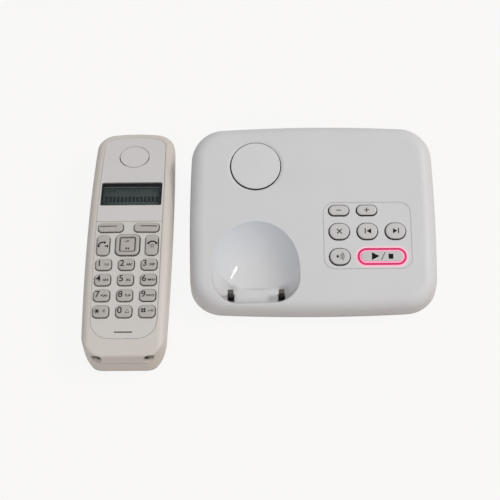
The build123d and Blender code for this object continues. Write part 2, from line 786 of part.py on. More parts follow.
with BuildPart() as display_window:
    with BuildSketch(face_plane(0, window_y)):
        RectangleRounded(window_width, window_height, window_corner)
    extrude(amount=handset_wall, both=True)
    add(face_slab(0, window_thickness), mode=Mode.INTERSECT)
display_window.part.label = "display_window"
export_step(display_window.part, "parts/display_window.step")

for place in handset_keys:
    handset_key(*place)

# The navigation key rocks on two posts, so its flange hangs lower
nav_top = face_plane(0, nav_key_y)
nav_flange_top = handset_wall + nav_flange_gap
with BuildPart() as nav_key:
    with BuildSketch(nav_top.offset(-nav_flange_top - key_flange_thickness)):
        margin = 2 * key_flange_margin
        Rectangle(nav_key_width + margin, nav_key_height + margin)
    extrude(amount=key_flange_thickness)
    with BuildSketch(nav_top.offset(-nav_flange_top)):
        RectangleRounded(nav_key_width, nav_key_height, nav_key_corner)
    extrude(amount=nav_flange_top + key_rise)
    chamfer(nav_key.faces().sort_by(Axis(nav_top.origin, nav_top.z_dir))[-1].edges(), key_edge_chamfer)
    with BuildSketch(nav_top.offset(key_rise - nav_groove)):
        groove = 2 * nav_groove
        RectangleRounded(nav_plate_width + groove, nav_plate_height + groove, nav_plate_corner + nav_groove)
        RectangleRounded(nav_plate_width, nav_plate_height, nav_plate_corner, mode=Mode.SUBTRACT)
    extrude(amount=key_rise, mode=Mode.SUBTRACT)
nav_key.part.label = "nav_key"
export_step(nav_key.part, "parts/nav_key.step")

with BuildPart() as handset_circuit_board:
    board_length = handset_board_high_y - handset_board_low_y
    with BuildSketch(Plane(origin=(handset_x, handset_board_low_y + board_length / 2, board_z))):
        RectangleRounded(handset_board_width, board_length, handset_board_corner)
    extrude(amount=handset_board_thickness)
    with Locations(*handset_screw_places):
        Hole(handset_boss_radius + cover_clearance)
handset_circuit_board.part.label = "handset_circuit_board"
export_step(handset_circuit_board.part, "parts/handset_circuit_board.step")

# A silicone mat with a post under every key
posts = [(x, y, handset_wall + key_flange_gap) for name, x, y, *size in handset_keys]
posts += [(0, nav_key_y + side * nav_key_height / 3, nav_flange_top) for side in (-1, 1)]
with BuildPart() as handset_key_mat:
    mat_high_y = softkey_y + softkey_height / 2
    mat_length = mat_high_y - handset_board_low_y
    with BuildSketch(Plane(origin=(handset_x, mat_high_y - mat_length / 2, mat_z))):
        RectangleRounded(handset_board_width, mat_length, handset_board_corner)
    extrude(amount=handset_mat_thickness)
    for x, y, flange_top in posts:
        tip = face_plane(x, y).offset(-flange_top - key_flange_thickness)
        with BuildSketch(tip):
            RegularPolygon(handset_post_radius, post_sides)
        extrude(amount=mat_z + handset_mat_thickness / 2 - tip.origin.Z)
handset_key_mat.part.label = "handset_key_mat"
export_step(handset_key_mat.part, "parts/handset_key_mat.step")

with BuildPart() as display_module:
    with Locations((handset_x, window_y, mat_z)):
        Box(display_width, display_depth, display_thickness, align=floor_align)
display_module.part.label = "display_module"
export_step(display_module.part, "parts/display_module.step")

with BuildPart() as earpiece_speaker:
    with BuildSketch(face_plane(0, earpiece_y).offset(-handset_wall)):
        Circle(receiver_radius)
    extrude(amount=-receiver_length)
earpiece_speaker.part.label = "earpiece_speaker"
export_step(earpiece_speaker.part, "parts/earpiece_speaker.step")

with BuildPart() as handset_ringer:
    with Locations((handset_x, ringer_y, back_height(ringer_y + ringer_radius, handset_wall))):
        Cylinder(ringer_radius, ringer_length, align=floor_align)
handset_ringer.part.label = "handset_ringer"
export_step(handset_ringer.part, "parts/handset_ringer.step")

with BuildPart() as microphone:
    with BuildSketch(face_plane(0, microphone_y).offset(-handset_wall - seam_gap)):
        Circle(microphone_radius)
    extrude(amount=-microphone_length)
microphone.part.label = "microphone"
export_step(microphone.part, "parts/microphone.step")

# Two cells lie head to tail between sprung contacts
cell_z = handset_wall + battery_clearance + battery_radius
for name, side in (("battery_cell_left", -1), ("battery_cell_right", 1)):
    middle = (handset_x + side * battery_spacing / 2, battery_y, cell_z)
    with BuildPart() as battery_cell:
        across = Plane(origin=middle, x_dir=(1, 0, 0), z_dir=(0, side, 0))
        with BuildSketch(across):
            Circle(battery_radius)
        extrude(amount=battery_length / 2, both=True)
        with BuildSketch(across.offset(battery_length / 2)):
            Circle(battery_nub_radius)
        extrude(amount=battery_nub_length)
    battery_cell.part.label = name
    export_step(battery_cell.part, f"parts/{name}.step")

with BuildPart() as battery_contacts:
    with Locations((handset_x, battery_y, cell_z)):
        with GridLocations(battery_spacing, bay_length - battery_contact_thickness, 2, 2):
            Box(battery_contact_width, battery_contact_thickness, battery_contact_width)
    for side in (-1, 1):
        spring = (handset_x + side * battery_spacing / 2, battery_y - side * bay_length / 2, cell_z)
        with BuildSketch(Plane(origin=spring, x_dir=(1, 0, 0), z_dir=(0, side, 0))):
            Circle(battery_radius / 2)
        extrude(amount=battery_end_gap, taper=battery_spring_taper)
battery_contacts.part.label = "battery_contacts"
export_step(battery_contacts.part, "parts/battery_contacts.step")

for name, side in (("handset_contact_left", -1), ("handset_contact_right", 1)):
    with BuildPart() as handset_contact:
        with BuildSketch(foot_end.offset(-foot_overrun - foot_slant - contact_recess)):
            with Locations((side * contact_spacing / 2, 0)):
                gap = 2 * window_clearance
                SlotOverall(contact_slot_length - gap, contact_slot_height - gap)
        extrude(amount=-contact_block)
    handset_contact.part.label = name
    export_step(handset_contact.part, f"parts/{name}.step")

with BuildPart() as handset_screws:
    with Locations(*[(x, y, handset_head_z) for x, y, z in handset_screw_places]):
        Cylinder(handset_head_radius, handset_head_height, align=roof_align)
        shank = handset_parting + handset_screw_length - handset_head_z
        Cylinder(handset_screw_radius, shank, align=floor_align)
handset_screws.part.label = "handset_screws"
export_step(handset_screws.part, "parts/handset_screws.step")

# Base housing, before it is cut
base_outer = base_form(0, fillet)
base_inner = base_form(base_wall, chamfer)
cradle_hollow = cradle_form(0)

with BuildPart() as cradle_shell:
    add(cradle_form(cradle_wall))
    add(base_outer, mode=Mode.INTERSECT)

with BuildPart() as screw_pillars:
    with Locations(*base_pillars):
        Cylinder(base_pillar_radius, base_height, align=floor_align)
    add(base_outer, mode=Mode.INTERSECT)

with BuildPart() as base_top_shell:
    add(base_outer)
    add(base_inner, mode=Mode.SUBTRACT)
    add(cradle_shell.part)
    split(bisect_by=Plane.XY.offset(base_parting), keep=Keep.TOP)
    add(screw_pillars.part)
    add(cradle_hollow, mode=Mode.SUBTRACT)
    with Locations(*base_pillars):
        Cylinder(base_screw_radius, base_screw_length, align=floor_align, mode=Mode.SUBTRACT)
    for x in contact_places:
        with Locations((x, base_setback + contact_y - contact_hook / 2 - contact_swing / 2, 0)):
            slot_length = contact_hook + 2 * contact_swing
            Box(contact_slot_width, slot_length, base_height, align=floor_align, mode=Mode.SUBTRACT)
    for name, x, s, width, height, corner in base_keys:
        with BuildSketch(base_plane(x, s)):
            gap = 2 * base_key_clearance
            RectangleRounded(width + gap, height + gap, corner + base_key_clearance)
        extrude(amount=2 * base_wall, both=True, mode=Mode.SUBTRACT)
    with BuildSketch(base_plane(play_x, play_s)):
        RectangleRounded(play_width + 2 * play_hole, play_height + 2 * play_hole, play_corner + play_hole)
    extrude(amount=2 * base_wall, both=True, mode=Mode.SUBTRACT)
    with BuildSketch(base_plane(cradle_x, paging_s)):
        Circle(paging_radius + base_key_clearance)
    extrude(amount=2 * base_wall, both=True, mode=Mode.SUBTRACT)
    dish_depth = paging_dish_depth
    with Locations(base_plane(cradle_x, paging_s).offset(-dish_depth / 2)):
        Cone(paging_radius + base_key_clearance, paging_dish_radius, dish_depth, mode=Mode.SUBTRACT)
    with BuildSketch(base_plane(panel_x, panel_s).offset(-groove_depth)):
        RectangleRounded(panel_width, panel_height, panel_corner)
        land = (panel_width - 2 * groove_width, panel_height - 2 * groove_width)
        RectangleRounded(*land, panel_corner - groove_width, mode=Mode.SUBTRACT)
    extrude(amount=base_wall, mode=Mode.SUBTRACT)
base_top_shell.part.label = "base_top_shell"
export_step(base_top_shell.part, "parts/base_top_shell.step")

for place in base_keys:
    base_key(*place)

play_size = (play_width, play_height, play_corner)
base_key("key_play_stop", play_x, play_s, *play_size, play_ring_flange + base_key_flange_gap)

with BuildPart() as paging_key:
    paging_top = base_plane(cradle_x, paging_s)
    flange_top = base_wall + base_key_flange_gap
    with BuildSketch(paging_top.offset(-flange_top - base_key_flange_thickness)):
        Circle(paging_radius + base_key_clearance + base_key_flange_margin)
    extrude(amount=base_key_flange_thickness)
    with BuildSketch(paging_top.offset(-flange_top)):
        Circle(paging_radius)
    extrude(amount=flange_top + paging_rise)
    paging_face = paging_key.faces().sort_by(Axis(paging_top.origin, paging_top.z_dir))[-1]
    chamfer(paging_face.edges(), paging_edge_chamfer)
paging_key.part.label = "paging_key"
export_step(paging_key.part, "parts/paging_key.step")

# The light guide round the play key, held by a flange under the housing
with BuildPart() as play_light_ring:
    ring_top = base_plane(play_x, play_s)
    ring_grow = 2 * (play_hole - socket_fit)
    flange_grow = ring_grow + 2 * base_key_flange_margin
    with BuildSketch(ring_top.offset(-base_wall - play_ring_flange)):
        RectangleRounded(play_width + flange_grow, play_height + flange_grow, play_corner + flange_grow / 2)
    extrude(amount=play_ring_flange)
    with BuildSketch(ring_top.offset(-base_wall)):
        RectangleRounded(play_width + ring_grow, play_height + ring_grow, play_corner + ring_grow / 2)
    extrude(amount=base_wall + play_ring_rise)
    with BuildSketch(ring_top):
        gap = 2 * base_key_clearance
        RectangleRounded(play_width + gap, play_height + gap, play_corner + base_key_clearance)
    extrude(amount=2 * base_wall, both=True, mode=Mode.SUBTRACT)
play_light_ring.part.label = "play_light_ring"
export_step(play_light_ring.part, "parts/play_light_ring.step")

with BuildPart() as base_key_mat:
    mat_plane = base_plane(panel_x, panel_s).offset(-base_mat_drop - base_mat_thickness)
    with BuildSketch(mat_plane):
        RectangleRounded(panel_width, panel_height, panel_corner)
    extrude(amount=base_mat_thickness)
    key_bottom = base_wall + base_key_flange_gap + base_key_flange_thickness
    play_bottom = key_bottom + play_ring_flange + base_key_flange_gap
    domes = [(x, s, key_bottom) for name, x, s, *size in base_keys] + [(play_x, play_s, play_bottom)]
    for x, s, bottom in domes:
        with BuildSketch(base_plane(x, s).offset(-bottom)):
            RegularPolygon(base_post_radius, post_sides)
        extrude(amount=bottom - base_mat_drop - base_mat_thickness / 2)
base_key_mat.part.label = "base_key_mat"
export_step(base_key_mat.part, "parts/base_key_mat.step")

base_board_drop = base_mat_drop + base_mat_thickness + base_board_thickness
with BuildPart() as base_circuit_board:
    with BuildSketch(base_plane(0, 0).offset(-base_board_drop)):
        with Locations((base_board_side, -base_board_front)):
            width = base_board_side - base_board_left
            Rectangle(width, base_board_front + base_board_back, align=(Align.MAX, Align.MIN))
        with Locations((0, base_board_strip)):
            strip = (2 * base_board_side, base_board_back - base_board_strip)
            Rectangle(*strip, align=(Align.CENTER, Align.MIN))
    extrude(amount=base_board_thickness)
base_circuit_board.part.label = "base_circuit_board"
export_step(base_circuit_board.part, "parts/base_circuit_board.step")

with BuildPart() as paging_switch:
    with BuildSketch(base_plane(cradle_x, paging_s).offset(-base_board_drop + base_board_thickness)):
        Rectangle(paging_switch_width, paging_switch_width)
    extrude(amount=base_mat_drop + base_mat_thickness - key_bottom - paging_switch_stem)
    with BuildSketch(base_plane(cradle_x, paging_s).offset(-key_bottom)):
        Circle(base_post_radius)
    extrude(amount=-2 * paging_switch_stem)
paging_switch.part.label = "paging_switch"
export_step(paging_switch.part, "parts/paging_switch.step")

# Cable well in the underside, with the two sockets in its front wall
well_back_y = base_depth / 2 - base_wall - well_clearance - base_end_crown
well_length = well_back_y - well_front_y
socket_places = [base_x + well_x + side * socket_spacing / 2 for side in (-1, 1)]
socket_z = foot_height + base_wall
with BuildPart() as base_bottom_shell:
    add(base_outer)
    add(base_inner, mode=Mode.SUBTRACT)
    split(bisect_by=Plane.XY.offset(base_parting), keep=Keep.BOTTOM)
    with Locations((base_x + well_x, base_setback + well_front_y - well_wall, foot_height)):
        well_align = (Align.CENTER, Align.MIN, Align.MIN)
        well_block = (well_width + 2 * well_wall, well_length + well_wall, well_height - foot_height)
        Box(*well_block, align=well_align)
    with Locations((base_x + well_x, base_setback + well_front_y, 0)):
        well_space = (well_width, well_length - well_wall, well_height - well_wall)
        Box(*well_space, align=well_align, mode=Mode.SUBTRACT)
    for x in socket_places:
        with Locations((x, base_setback + well_front_y, socket_z)):
            socket_align = (Align.CENTER, Align.CENTER, Align.MIN)
            hole = (socket_width + 2 * socket_fit, 4 * well_wall, socket_height + 2 * socket_fit)
            Box(*hole, align=socket_align, mode=Mode.SUBTRACT)
        with Locations((x, base_setback + well_back_y, 0)):
            notch = (cable_notch, 4 * (base_wall + well_wall), base_parting)
            Box(*notch, align=socket_align, mode=Mode.SUBTRACT)
    with Locations(*base_pillars):
        Cylinder(base_pillar_radius, base_parting - foot_height, align=roof_align)
    with Locations(*base_pillars):
        Cylinder(base_screw_radius, base_parting, align=roof_align, mode=Mode.SUBTRACT)
    with Locations(*[(x, y, base_head_z) for x, y, z in base_pillars]):
        Cylinder(base_screw_head_radius + socket_fit, base_parting, align=roof_align, mode=Mode.SUBTRACT)
    with Locations((base_x + panel_x, base_setback + speaker_y, socket_z)):
        Cylinder(speaker_radius + socket_fit + well_wall, speaker_height / 2, align=floor_align)
        Cylinder(speaker_radius + socket_fit, speaker_height / 2, align=floor_align, mode=Mode.SUBTRACT)
    with BuildSketch(Plane(origin=(base_x + panel_x, base_setback + speaker_y, 0))):
        for index in range(speaker_slots):
            offset_y = (index - (speaker_slots - 1) / 2) * speaker_slot_pitch
            with Locations((0, offset_y)):
                SlotOverall(2 * sqrt((speaker_radius - well_wall) ** 2 - offset_y**2), speaker_slot_width)
    extrude(amount=socket_z, mode=Mode.SUBTRACT)
    with Locations(*base_feet):
        Cylinder(foot_radius + socket_fit, foot_recess, align=floor_align, mode=Mode.SUBTRACT)
base_bottom_shell.part.label = "base_bottom_shell"
export_step(base_bottom_shell.part, "parts/base_bottom_shell.step")

for index, (x, y, z) in enumerate(base_feet, start=1):
    with BuildPart() as base_foot:
        with Locations((x, y, 0)):
            Cylinder(foot_radius, foot_height + foot_recess, align=floor_align)
        chamfer(base_foot.faces().sort_by(Axis.Z)[0].edges(), foot_edge_chamfer)
    base_foot.part.label = f"base_foot_{index}"
    export_step(base_foot.part, f"parts/base_foot_{index}.step")

with BuildPart() as base_screws:
    with Locations(*[(x, y, base_head_z) for x, y, z in base_pillars]):
        Cylinder(base_screw_head_radius, base_screw_head_height, align=roof_align)
        Cylinder(base_screw_radius, base_screw_length, align=floor_align)
base_screws.part.label = "base_screws"
export_step(base_screws.part, "parts/base_screws.step")

with BuildPart() as base_loudspeaker:
    with Locations((base_x + panel_x, base_setback + speaker_y, socket_z)):
        Cylinder(speaker_radius, speaker_frame_height, align=floor_align)
        Cylinder(speaker_radius / 2, speaker_height, align=floor_align)
base_loudspeaker.part.label = "base_loudspeaker"
export_step(base_loudspeaker.part, "parts/base_loudspeaker.step")

for name, x in zip(("phone_line_socket", "power_socket"), socket_places):
    with BuildPart() as socket:
        with Locations((x, base_setback + well_front_y, socket_z)):
            Box(socket_width, socket_length, socket_height, align=(Align.CENTER, Align.MAX, Align.MIN))
        with Locations((x, base_setback + well_front_y, socket_z + socket_height / 2)):
            mouth_align = (Align.CENTER, Align.MAX, Align.CENTER)
            mouth = (socket_mouth_width, socket_mouth_depth, socket_mouth_height)
            Box(*mouth, align=mouth_align, mode=Mode.SUBTRACT)
        mouth_z = socket_z + (socket_height - socket_mouth_height) / 2
        with Locations((x, base_setback + well_front_y, mouth_z)):
            latch = (socket_latch_width, socket_mouth_depth, socket_latch_height)
            Box(*latch, align=(Align.CENTER, Align.MAX, Align.MAX), mode=Mode.SUBTRACT)
    socket.part.label = name
    export_step(socket.part, f"parts/{name}.step")

# Sprung charging prongs that stand up through the ledge of the cradle
for name, x in zip(("charge_contact_left", "charge_contact_right"), contact_places):
    with BuildPart() as charge_contact:
        root_y = base_setback + contact_y
        with BuildSketch(Plane(origin=(x, 0, 0), x_dir=(0, 1, 0), z_dir=(1, 0, 0))):
            with BuildLine():
                FilletPolyline(
                    (root_y + contact_root, contact_root_z),
                    (root_y, contact_root_z),
                    (root_y, contact_top),
                    (root_y - contact_hook, contact_top),
                    (root_y - contact_hook, contact_top - contact_root),
                    radius=contact_bend,
                )
            trace(line_width=contact_thickness)
        extrude(amount=prong_width / 2, both=True)
    charge_contact.part.label = name
    export_step(charge_contact.part, f"parts/{name}.step")
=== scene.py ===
import json
import logging
import math
from dataclasses import dataclass, field
from enum import Enum
from typing import Any, Iterable

import bmesh
import bpy
from mathutils import Matrix, Vector


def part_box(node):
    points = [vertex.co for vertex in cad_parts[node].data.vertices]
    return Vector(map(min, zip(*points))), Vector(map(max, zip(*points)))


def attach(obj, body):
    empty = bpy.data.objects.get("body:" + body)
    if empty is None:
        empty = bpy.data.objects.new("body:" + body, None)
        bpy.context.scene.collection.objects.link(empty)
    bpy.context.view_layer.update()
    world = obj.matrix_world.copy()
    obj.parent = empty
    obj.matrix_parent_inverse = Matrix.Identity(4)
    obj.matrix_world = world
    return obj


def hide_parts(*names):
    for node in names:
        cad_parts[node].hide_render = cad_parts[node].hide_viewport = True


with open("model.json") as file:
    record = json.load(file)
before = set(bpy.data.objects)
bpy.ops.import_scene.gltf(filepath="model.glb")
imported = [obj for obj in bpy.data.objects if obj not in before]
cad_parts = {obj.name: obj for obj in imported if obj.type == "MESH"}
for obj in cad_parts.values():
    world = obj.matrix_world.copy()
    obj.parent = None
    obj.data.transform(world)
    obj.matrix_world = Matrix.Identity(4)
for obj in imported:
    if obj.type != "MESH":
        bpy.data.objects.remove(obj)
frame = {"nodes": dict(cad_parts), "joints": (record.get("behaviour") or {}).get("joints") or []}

LOG = logging.getLogger("cordless_phone")
MM = 0.001  # the frame is in metres
PRINT_FILM = 0.08  # mm, thickness of the print on a key
THIN_FILM = 0.06  # mm, thickness of a mark on the display or of the painted shade in a screw's slot
RIGHT = Vector((1, 0, 0))
UPWARDS = Vector((0, 0, 1))

Outline = list[tuple[float, float]]


def linear(hex_colour: str) -> tuple[float, float, float, float]:
    """Turns an sRGB hex colour into linear RGBA.

    Args:
        hex_colour: six hex digits after a #.

    Returns:
        The colour as Blender's sockets take it.
    """
    channels = [int(hex_colour[i:i + 2], 16) / 255 for i in (1, 3, 5)]
    bent = [c / 12.92 if c <= 0.04045 else ((c + 0.055) / 1.055) ** 2.4 for c in channels]
    return (bent[0], bent[1], bent[2], 1.0)


def add_node(
    tree: bpy.types.NodeTree, kind: str, inputs: dict | None = None, **settings: Any,
) -> bpy.types.Node:
    """Adds one node to a tree, with its settings, values and links.

    Args:
        tree: the tree that takes the node.
        kind: the node's type name.
        inputs: for each input socket, a value or the output socket that feeds it.
        **settings: the node's own properties.

    Returns:
        The new node.
    """
    node = tree.nodes.new(kind)
    for name, value in settings.items():
        setattr(node, name, value)
    for socket, value in (inputs or {}).items():
        if isinstance(value, bpy.types.NodeSocket):
            tree.links.new(value, node.inputs[socket])
        else:
            node.inputs[socket].default_value = value
    return node


def find_node(tree: bpy.types.NodeTree, kind: str) -> bpy.types.Node:
    """The first node of a kind in a tree."""
    return next(node for node in tree.nodes if node.bl_idname == kind)


@dataclass(frozen=True)
class Finish:
    """What every surface finish has: a name and the shader's plain values."""

    name: str
    colour: str
    roughness: float = 0.5
    metallic: float = 0.0
    ior: float = 1.5

    def material(self) -> bpy.types.Material:
        """The finish as a material, made once and then shared.

        Returns:
            The material.
        """
        known = bpy.data.materials.get(self.name)
        if known:
            return known
        made = bpy.data.materials.new(self.name)
        made.use_nodes = True
        tree = made.node_tree
        tree.nodes.clear()
        shader = add_node(tree, "ShaderNodeBsdfPrincipled", {
            "Base Color": linear(self.colour),
            "Roughness": self.roughness,
            "Metallic": self.metallic,
        })
        if not self.metallic:
            shader.inputs["IOR"].default_value = self.ior
        self.detail(tree, shader)
        add_node(tree, "ShaderNodeOutputMaterial", {"Surface": shader.outputs["BSDF"]})
        return made

    def detail(self, tree: bpy.types.NodeTree, shader: bpy.types.Node) -> None:
        """Adds what the real surface shows beyond one plain value."""


@dataclass(frozen=True)
class MouldedPlastic(Finish):
    """Injection-moulded ABS: an even tone with a faint mottle, and a fine grain from the mould."""

    shade: str = "#C8C5C2"  # the tone that the mottle drifts to
    mottle: float = 24.0  # mm across one patch of the mottle
    grain: float = 0.6  # mm; a mould's own 0.1 mm is too fine to show, so the grain is drawn coarser
    relief: float = 0.02  # mm from the grain's peaks to its valleys
    edge: float = 0.25  # mm of rounding that a mould leaves on every edge
    gloss_drift: float = 0.04  # how far the roughness wanders with the mottle
    bite: float = 0.5  # how much of the grain's relief shows

    def detail(self, tree: bpy.types.NodeTree, shader: bpy.types.Node) -> None:
        """Mottle in the colour, wear in the gloss, grain and round edges in the normal.

        Args:
            tree: the material's tree.
            shader: the tree's shader.
        """
        where = add_node(tree, "ShaderNodeTexCoord").outputs["Object"]
        patches = add_node(tree, "ShaderNodeTexNoise", {
            "Vector": where, "Scale": 1 / (self.mottle * MM), "Detail": 3.0,
        })
        tone = add_node(tree, "ShaderNodeMix", {
            "Factor": patches.outputs["Fac"], "A": linear(self.colour), "B": linear(self.shade),
        }, data_type="RGBA")
        tree.links.new(tone.outputs["Result"], shader.inputs["Base Color"])
        gloss = add_node(tree, "ShaderNodeMapRange", {
            "Value": patches.outputs["Fac"],
            "To Min": self.roughness - self.gloss_drift,
            "To Max": self.roughness + self.gloss_drift,
        })
        tree.links.new(gloss.outputs["Result"], shader.inputs["Roughness"])
        rounded = add_node(tree, "ShaderNodeBevel", {"Radius": self.edge * MM}, samples=6)
        grains = add_node(tree, "ShaderNodeTexNoise", {
            "Vector": where, "Scale": 1 / (self.grain * MM), "Detail": 2.0,
        })
        bump = add_node(tree, "ShaderNodeBump", {
            "Height": grains.outputs["Fac"],
            "Strength": self.bite,
            "Distance": self.relief * MM,
            "Normal": rounded.outputs["Normal"],
        })
        tree.links.new(bump.outputs["Normal"], shader.inputs["Normal"])


@dataclass(frozen=True)
class BowlPlastic(MouldedPlastic):
    """The base's ABS, polished where the handset's foot slides into the bowl, with painted shade that makes
    the bowl bluer and darker towards its rim.
    """

    bowl_centre: tuple[float, float, float] = (-3.0, -26.94, 42.49)  # mm
    bowl_radii: tuple[float, float, float] = (31.2, 34.56, 34.56)  # mm
    bowl_floor: float = 10.0  # mm, height at which the bowl's painted shade starts
    bowl_rim: float = 24.0  # mm, height at which it is full
    polish: float = 0.08  # roughness of the polished bowl
    polish_reach: tuple[float, float] = (1.012, 1.004)  # bowl radii at which the polish starts and is full
    # painted shade: the bluish darker grey of the bowl's upper wall
    bowl_shade_colour: str = "#CCCFD3"
    crease: float = 2.2  # mm of rounding where the hollows of the cradle meet
    crease_reach: tuple[float, float] = (1.15, 1.08)  # bowl radii at which that rounding starts and is full

    def detail(self, tree: bpy.types.NodeTree, shader: bpy.types.Node) -> None:
        """The plain ABS detail, with painted shade, polish and rounder creases on a mask that follows the
        bowl's own ellipsoid.

        Args:
            tree: the material's tree.
            shader: the tree's shader.
        """
        super().detail(tree, shader)
        where = add_node(tree, "ShaderNodeTexCoord").outputs["Object"]
        scaled = add_node(tree, "ShaderNodeMapping", {
            "Vector": where,
            "Location": tuple(-c / r for c, r in zip(self.bowl_centre, self.bowl_radii)),
            "Scale": tuple(1 / (r * MM) for r in self.bowl_radii),
        })
        reach = add_node(tree, "ShaderNodeVectorMath", {
            "Vector": scaled.outputs["Vector"],
        }, operation="LENGTH")
        inside = add_node(tree, "ShaderNodeMapRange", {
            "Value": reach.outputs["Value"],
            "From Min": self.polish_reach[0],
            "From Max": self.polish_reach[1],
        })
        height = add_node(tree, "ShaderNodeSeparateXYZ", {"Vector": where})
        rise = add_node(tree, "ShaderNodeMapRange", {
            "Value": height.outputs["Z"], "From Min": self.bowl_floor * MM, "From Max": self.bowl_rim * MM,
        })
        # painted shade in the bowl, growing from its floor to its rim
        painted_shade = add_node(tree, "ShaderNodeMath", {
            0: inside.outputs["Result"], 1: rise.outputs["Result"],
        }, operation="MULTIPLY")
        self.blend_in(tree, shader.inputs["Base Color"], painted_shade.outputs[0], linear(self.bowl_shade_colour), "RGBA")
        self.blend_in(tree, shader.inputs["Roughness"], inside.outputs["Result"], self.polish, "FLOAT")
        grain = add_node(tree, "ShaderNodeMapRange", {
            "Value": inside.outputs["Result"], "To Min": self.bite, "To Max": 0.0,
        })
        tree.links.new(grain.outputs["Result"], find_node(tree, "ShaderNodeBump").inputs["Strength"])
        near = add_node(tree, "ShaderNodeMapRange", {
            "Value": reach.outputs["Value"],
            "From Min": self.crease_reach[0],
            "From Max": self.crease_reach[1],
        })
        low = add_node(tree, "ShaderNodeMapRange", {
            "Value": height.outputs["Z"], "From Min": self.bowl_rim * MM, "From Max": self.bowl_floor * MM,
        })
        soft = add_node(tree, "ShaderNodeMath", {
            0: near.outputs["Result"], 1: low.outputs["Result"],
        }, operation="MULTIPLY")
        radius = add_node(tree, "ShaderNodeMapRange", {
            "Value": soft.outputs[0], "To Min": self.edge * MM, "To Max": self.crease * MM,
        })
        tree.links.new(radius.outputs["Result"], find_node(tree, "ShaderNodeBevel").inputs["Radius"])

    @staticmethod
    def blend_in(
        tree: bpy.types.NodeTree,
        socket: bpy.types.NodeSocket,
        share: bpy.types.NodeSocket,
        value: Any,
        kind: str,
    ) -> None:
        """Blends a value over what already feeds a shader's socket.

        Args:
            tree: the material's tree.
            socket: the shader's socket.
            share: how much of the value shows, from 0 to 1.
            value: the colour or number.
            kind: the Mix node's data type.
        """
        choice = add_node(tree, "ShaderNodeMix", {"Factor": share}, data_type=kind)
        ends = [end for end in choice.inputs if end.enabled and end.name in "AB"]
        tree.links.new(socket.links[0].from_socket, ends[0])
        ends[1].default_value = value
        tree.links.new(next(out for out in choice.outputs if out.enabled), socket)


@dataclass(frozen=True)
class PlatedSteel(Finish):
    """Nickel-plated steel strip, with fine marks along its length from rolling."""

    streak: float = 0.25  # mm; real rolling marks are too fine to show, so they are drawn coarser
    stretch: tuple[float, float, float] = (1.0, 0.05, 0.05)  # how the marks are drawn out along the strip
    gloss_span: tuple[float, float] = (-0.1, 0.15)  # what the marks add to the roughness

    def detail(self, tree: bpy.types.NodeTree, shader: bpy.types.Node) -> None:
        """Rolling marks in the gloss.

        Args:
            tree: the material's tree.
            shader: the tree's shader.
        """
        where = add_node(tree, "ShaderNodeTexCoord").outputs["Object"]
        stretched = add_node(tree, "ShaderNodeMapping", {
            "Vector": where, "Scale": self.stretch,
        })
        marks = add_node(tree, "ShaderNodeTexNoise", {
            "Vector": stretched.outputs["Vector"], "Scale": 1 / (self.streak * MM), "Detail": 2.0,
        })
        gloss = add_node(tree, "ShaderNodeMapRange", {
            "Value": marks.outputs["Fac"],
            "To Min": self.roughness + self.gloss_span[0],
            "To Max": self.roughness + self.gloss_span[1],
        })
        tree.links.new(gloss.outputs["Result"], shader.inputs["Roughness"])


@dataclass(frozen=True)
class LitGuide(Finish):
    """Frosted acrylic light guide with a lamp behind it."""

    glow: str = "#FF2E7A"
    power: float = 1.0
    patch: float = 6.0  # mm across a brighter or darker patch
    uneven: float = 0.15  # share by which the patches differ

    def detail(self, tree: bpy.types.NodeTree, shader: bpy.types.Node) -> None:
        """The lamp's colour, a little uneven along the guide.

        Args:
            tree: the material's tree.
            shader: the tree's shader.
        """
        shader.inputs["Emission Color"].default_value = linear(self.glow)
        where = add_node(tree, "ShaderNodeTexCoord").outputs["Object"]
        patches = add_node(tree, "ShaderNodeTexNoise", {"Vector": where, "Scale": 1 / (self.patch * MM)})
        strength = add_node(tree, "ShaderNodeMapRange", {
            "Value": patches.outputs["Fac"],
            "To Min": (1 - self.uneven) * self.power,
            "To Max": (1 + self.uneven) * self.power,
        })
        tree.links.new(strength.outputs["Result"], shader.inputs["Emission Strength"])


@dataclass(frozen=True)
class ClearLens(Finish):
    """Clear polished acrylic, as thin as a watch glass, that light goes straight through."""

    tint: float = 0.1  # share of the light that the lens keeps

    def detail(self, tree: bpy.types.NodeTree, shader: bpy.types.Node) -> None:
        """Lets light through the lens."""
        shader.inputs["Alpha"].default_value = self.tint


@dataclass(frozen=True)
class SpeckledSheet(Finish):
    """A flat sheet such as laminate, rubber, ink or display glass, with a fine speckle."""

    speck: float = 0.4  # mm; specks of about 0.1 mm are too fine to show, so they are drawn coarser
    contrast: float = 0.12

    def detail(self, tree: bpy.types.NodeTree, shader: bpy.types.Node) -> None:
        """Speckle in the colour.

        Args:
            tree: the material's tree.
            shader: the tree's shader.
        """
        where = add_node(tree, "ShaderNodeTexCoord").outputs["Object"]
        specks = add_node(tree, "ShaderNodeTexNoise", {
            "Vector": where, "Scale": 1 / (self.speck * MM), "Detail": 2.0,
        })
        level = add_node(tree, "ShaderNodeMapRange", {
            "Value": specks.outputs["Fac"], "To Min": 1 - self.contrast, "To Max": 1 + self.contrast,
        })
        tone = add_node(tree, "ShaderNodeVectorMath", {
            0: linear(self.colour)[:3], "Scale": level.outputs["Result"],
        }, operation="SCALE")
        tree.links.new(tone.outputs["Vector"], shader.inputs["Base Color"])


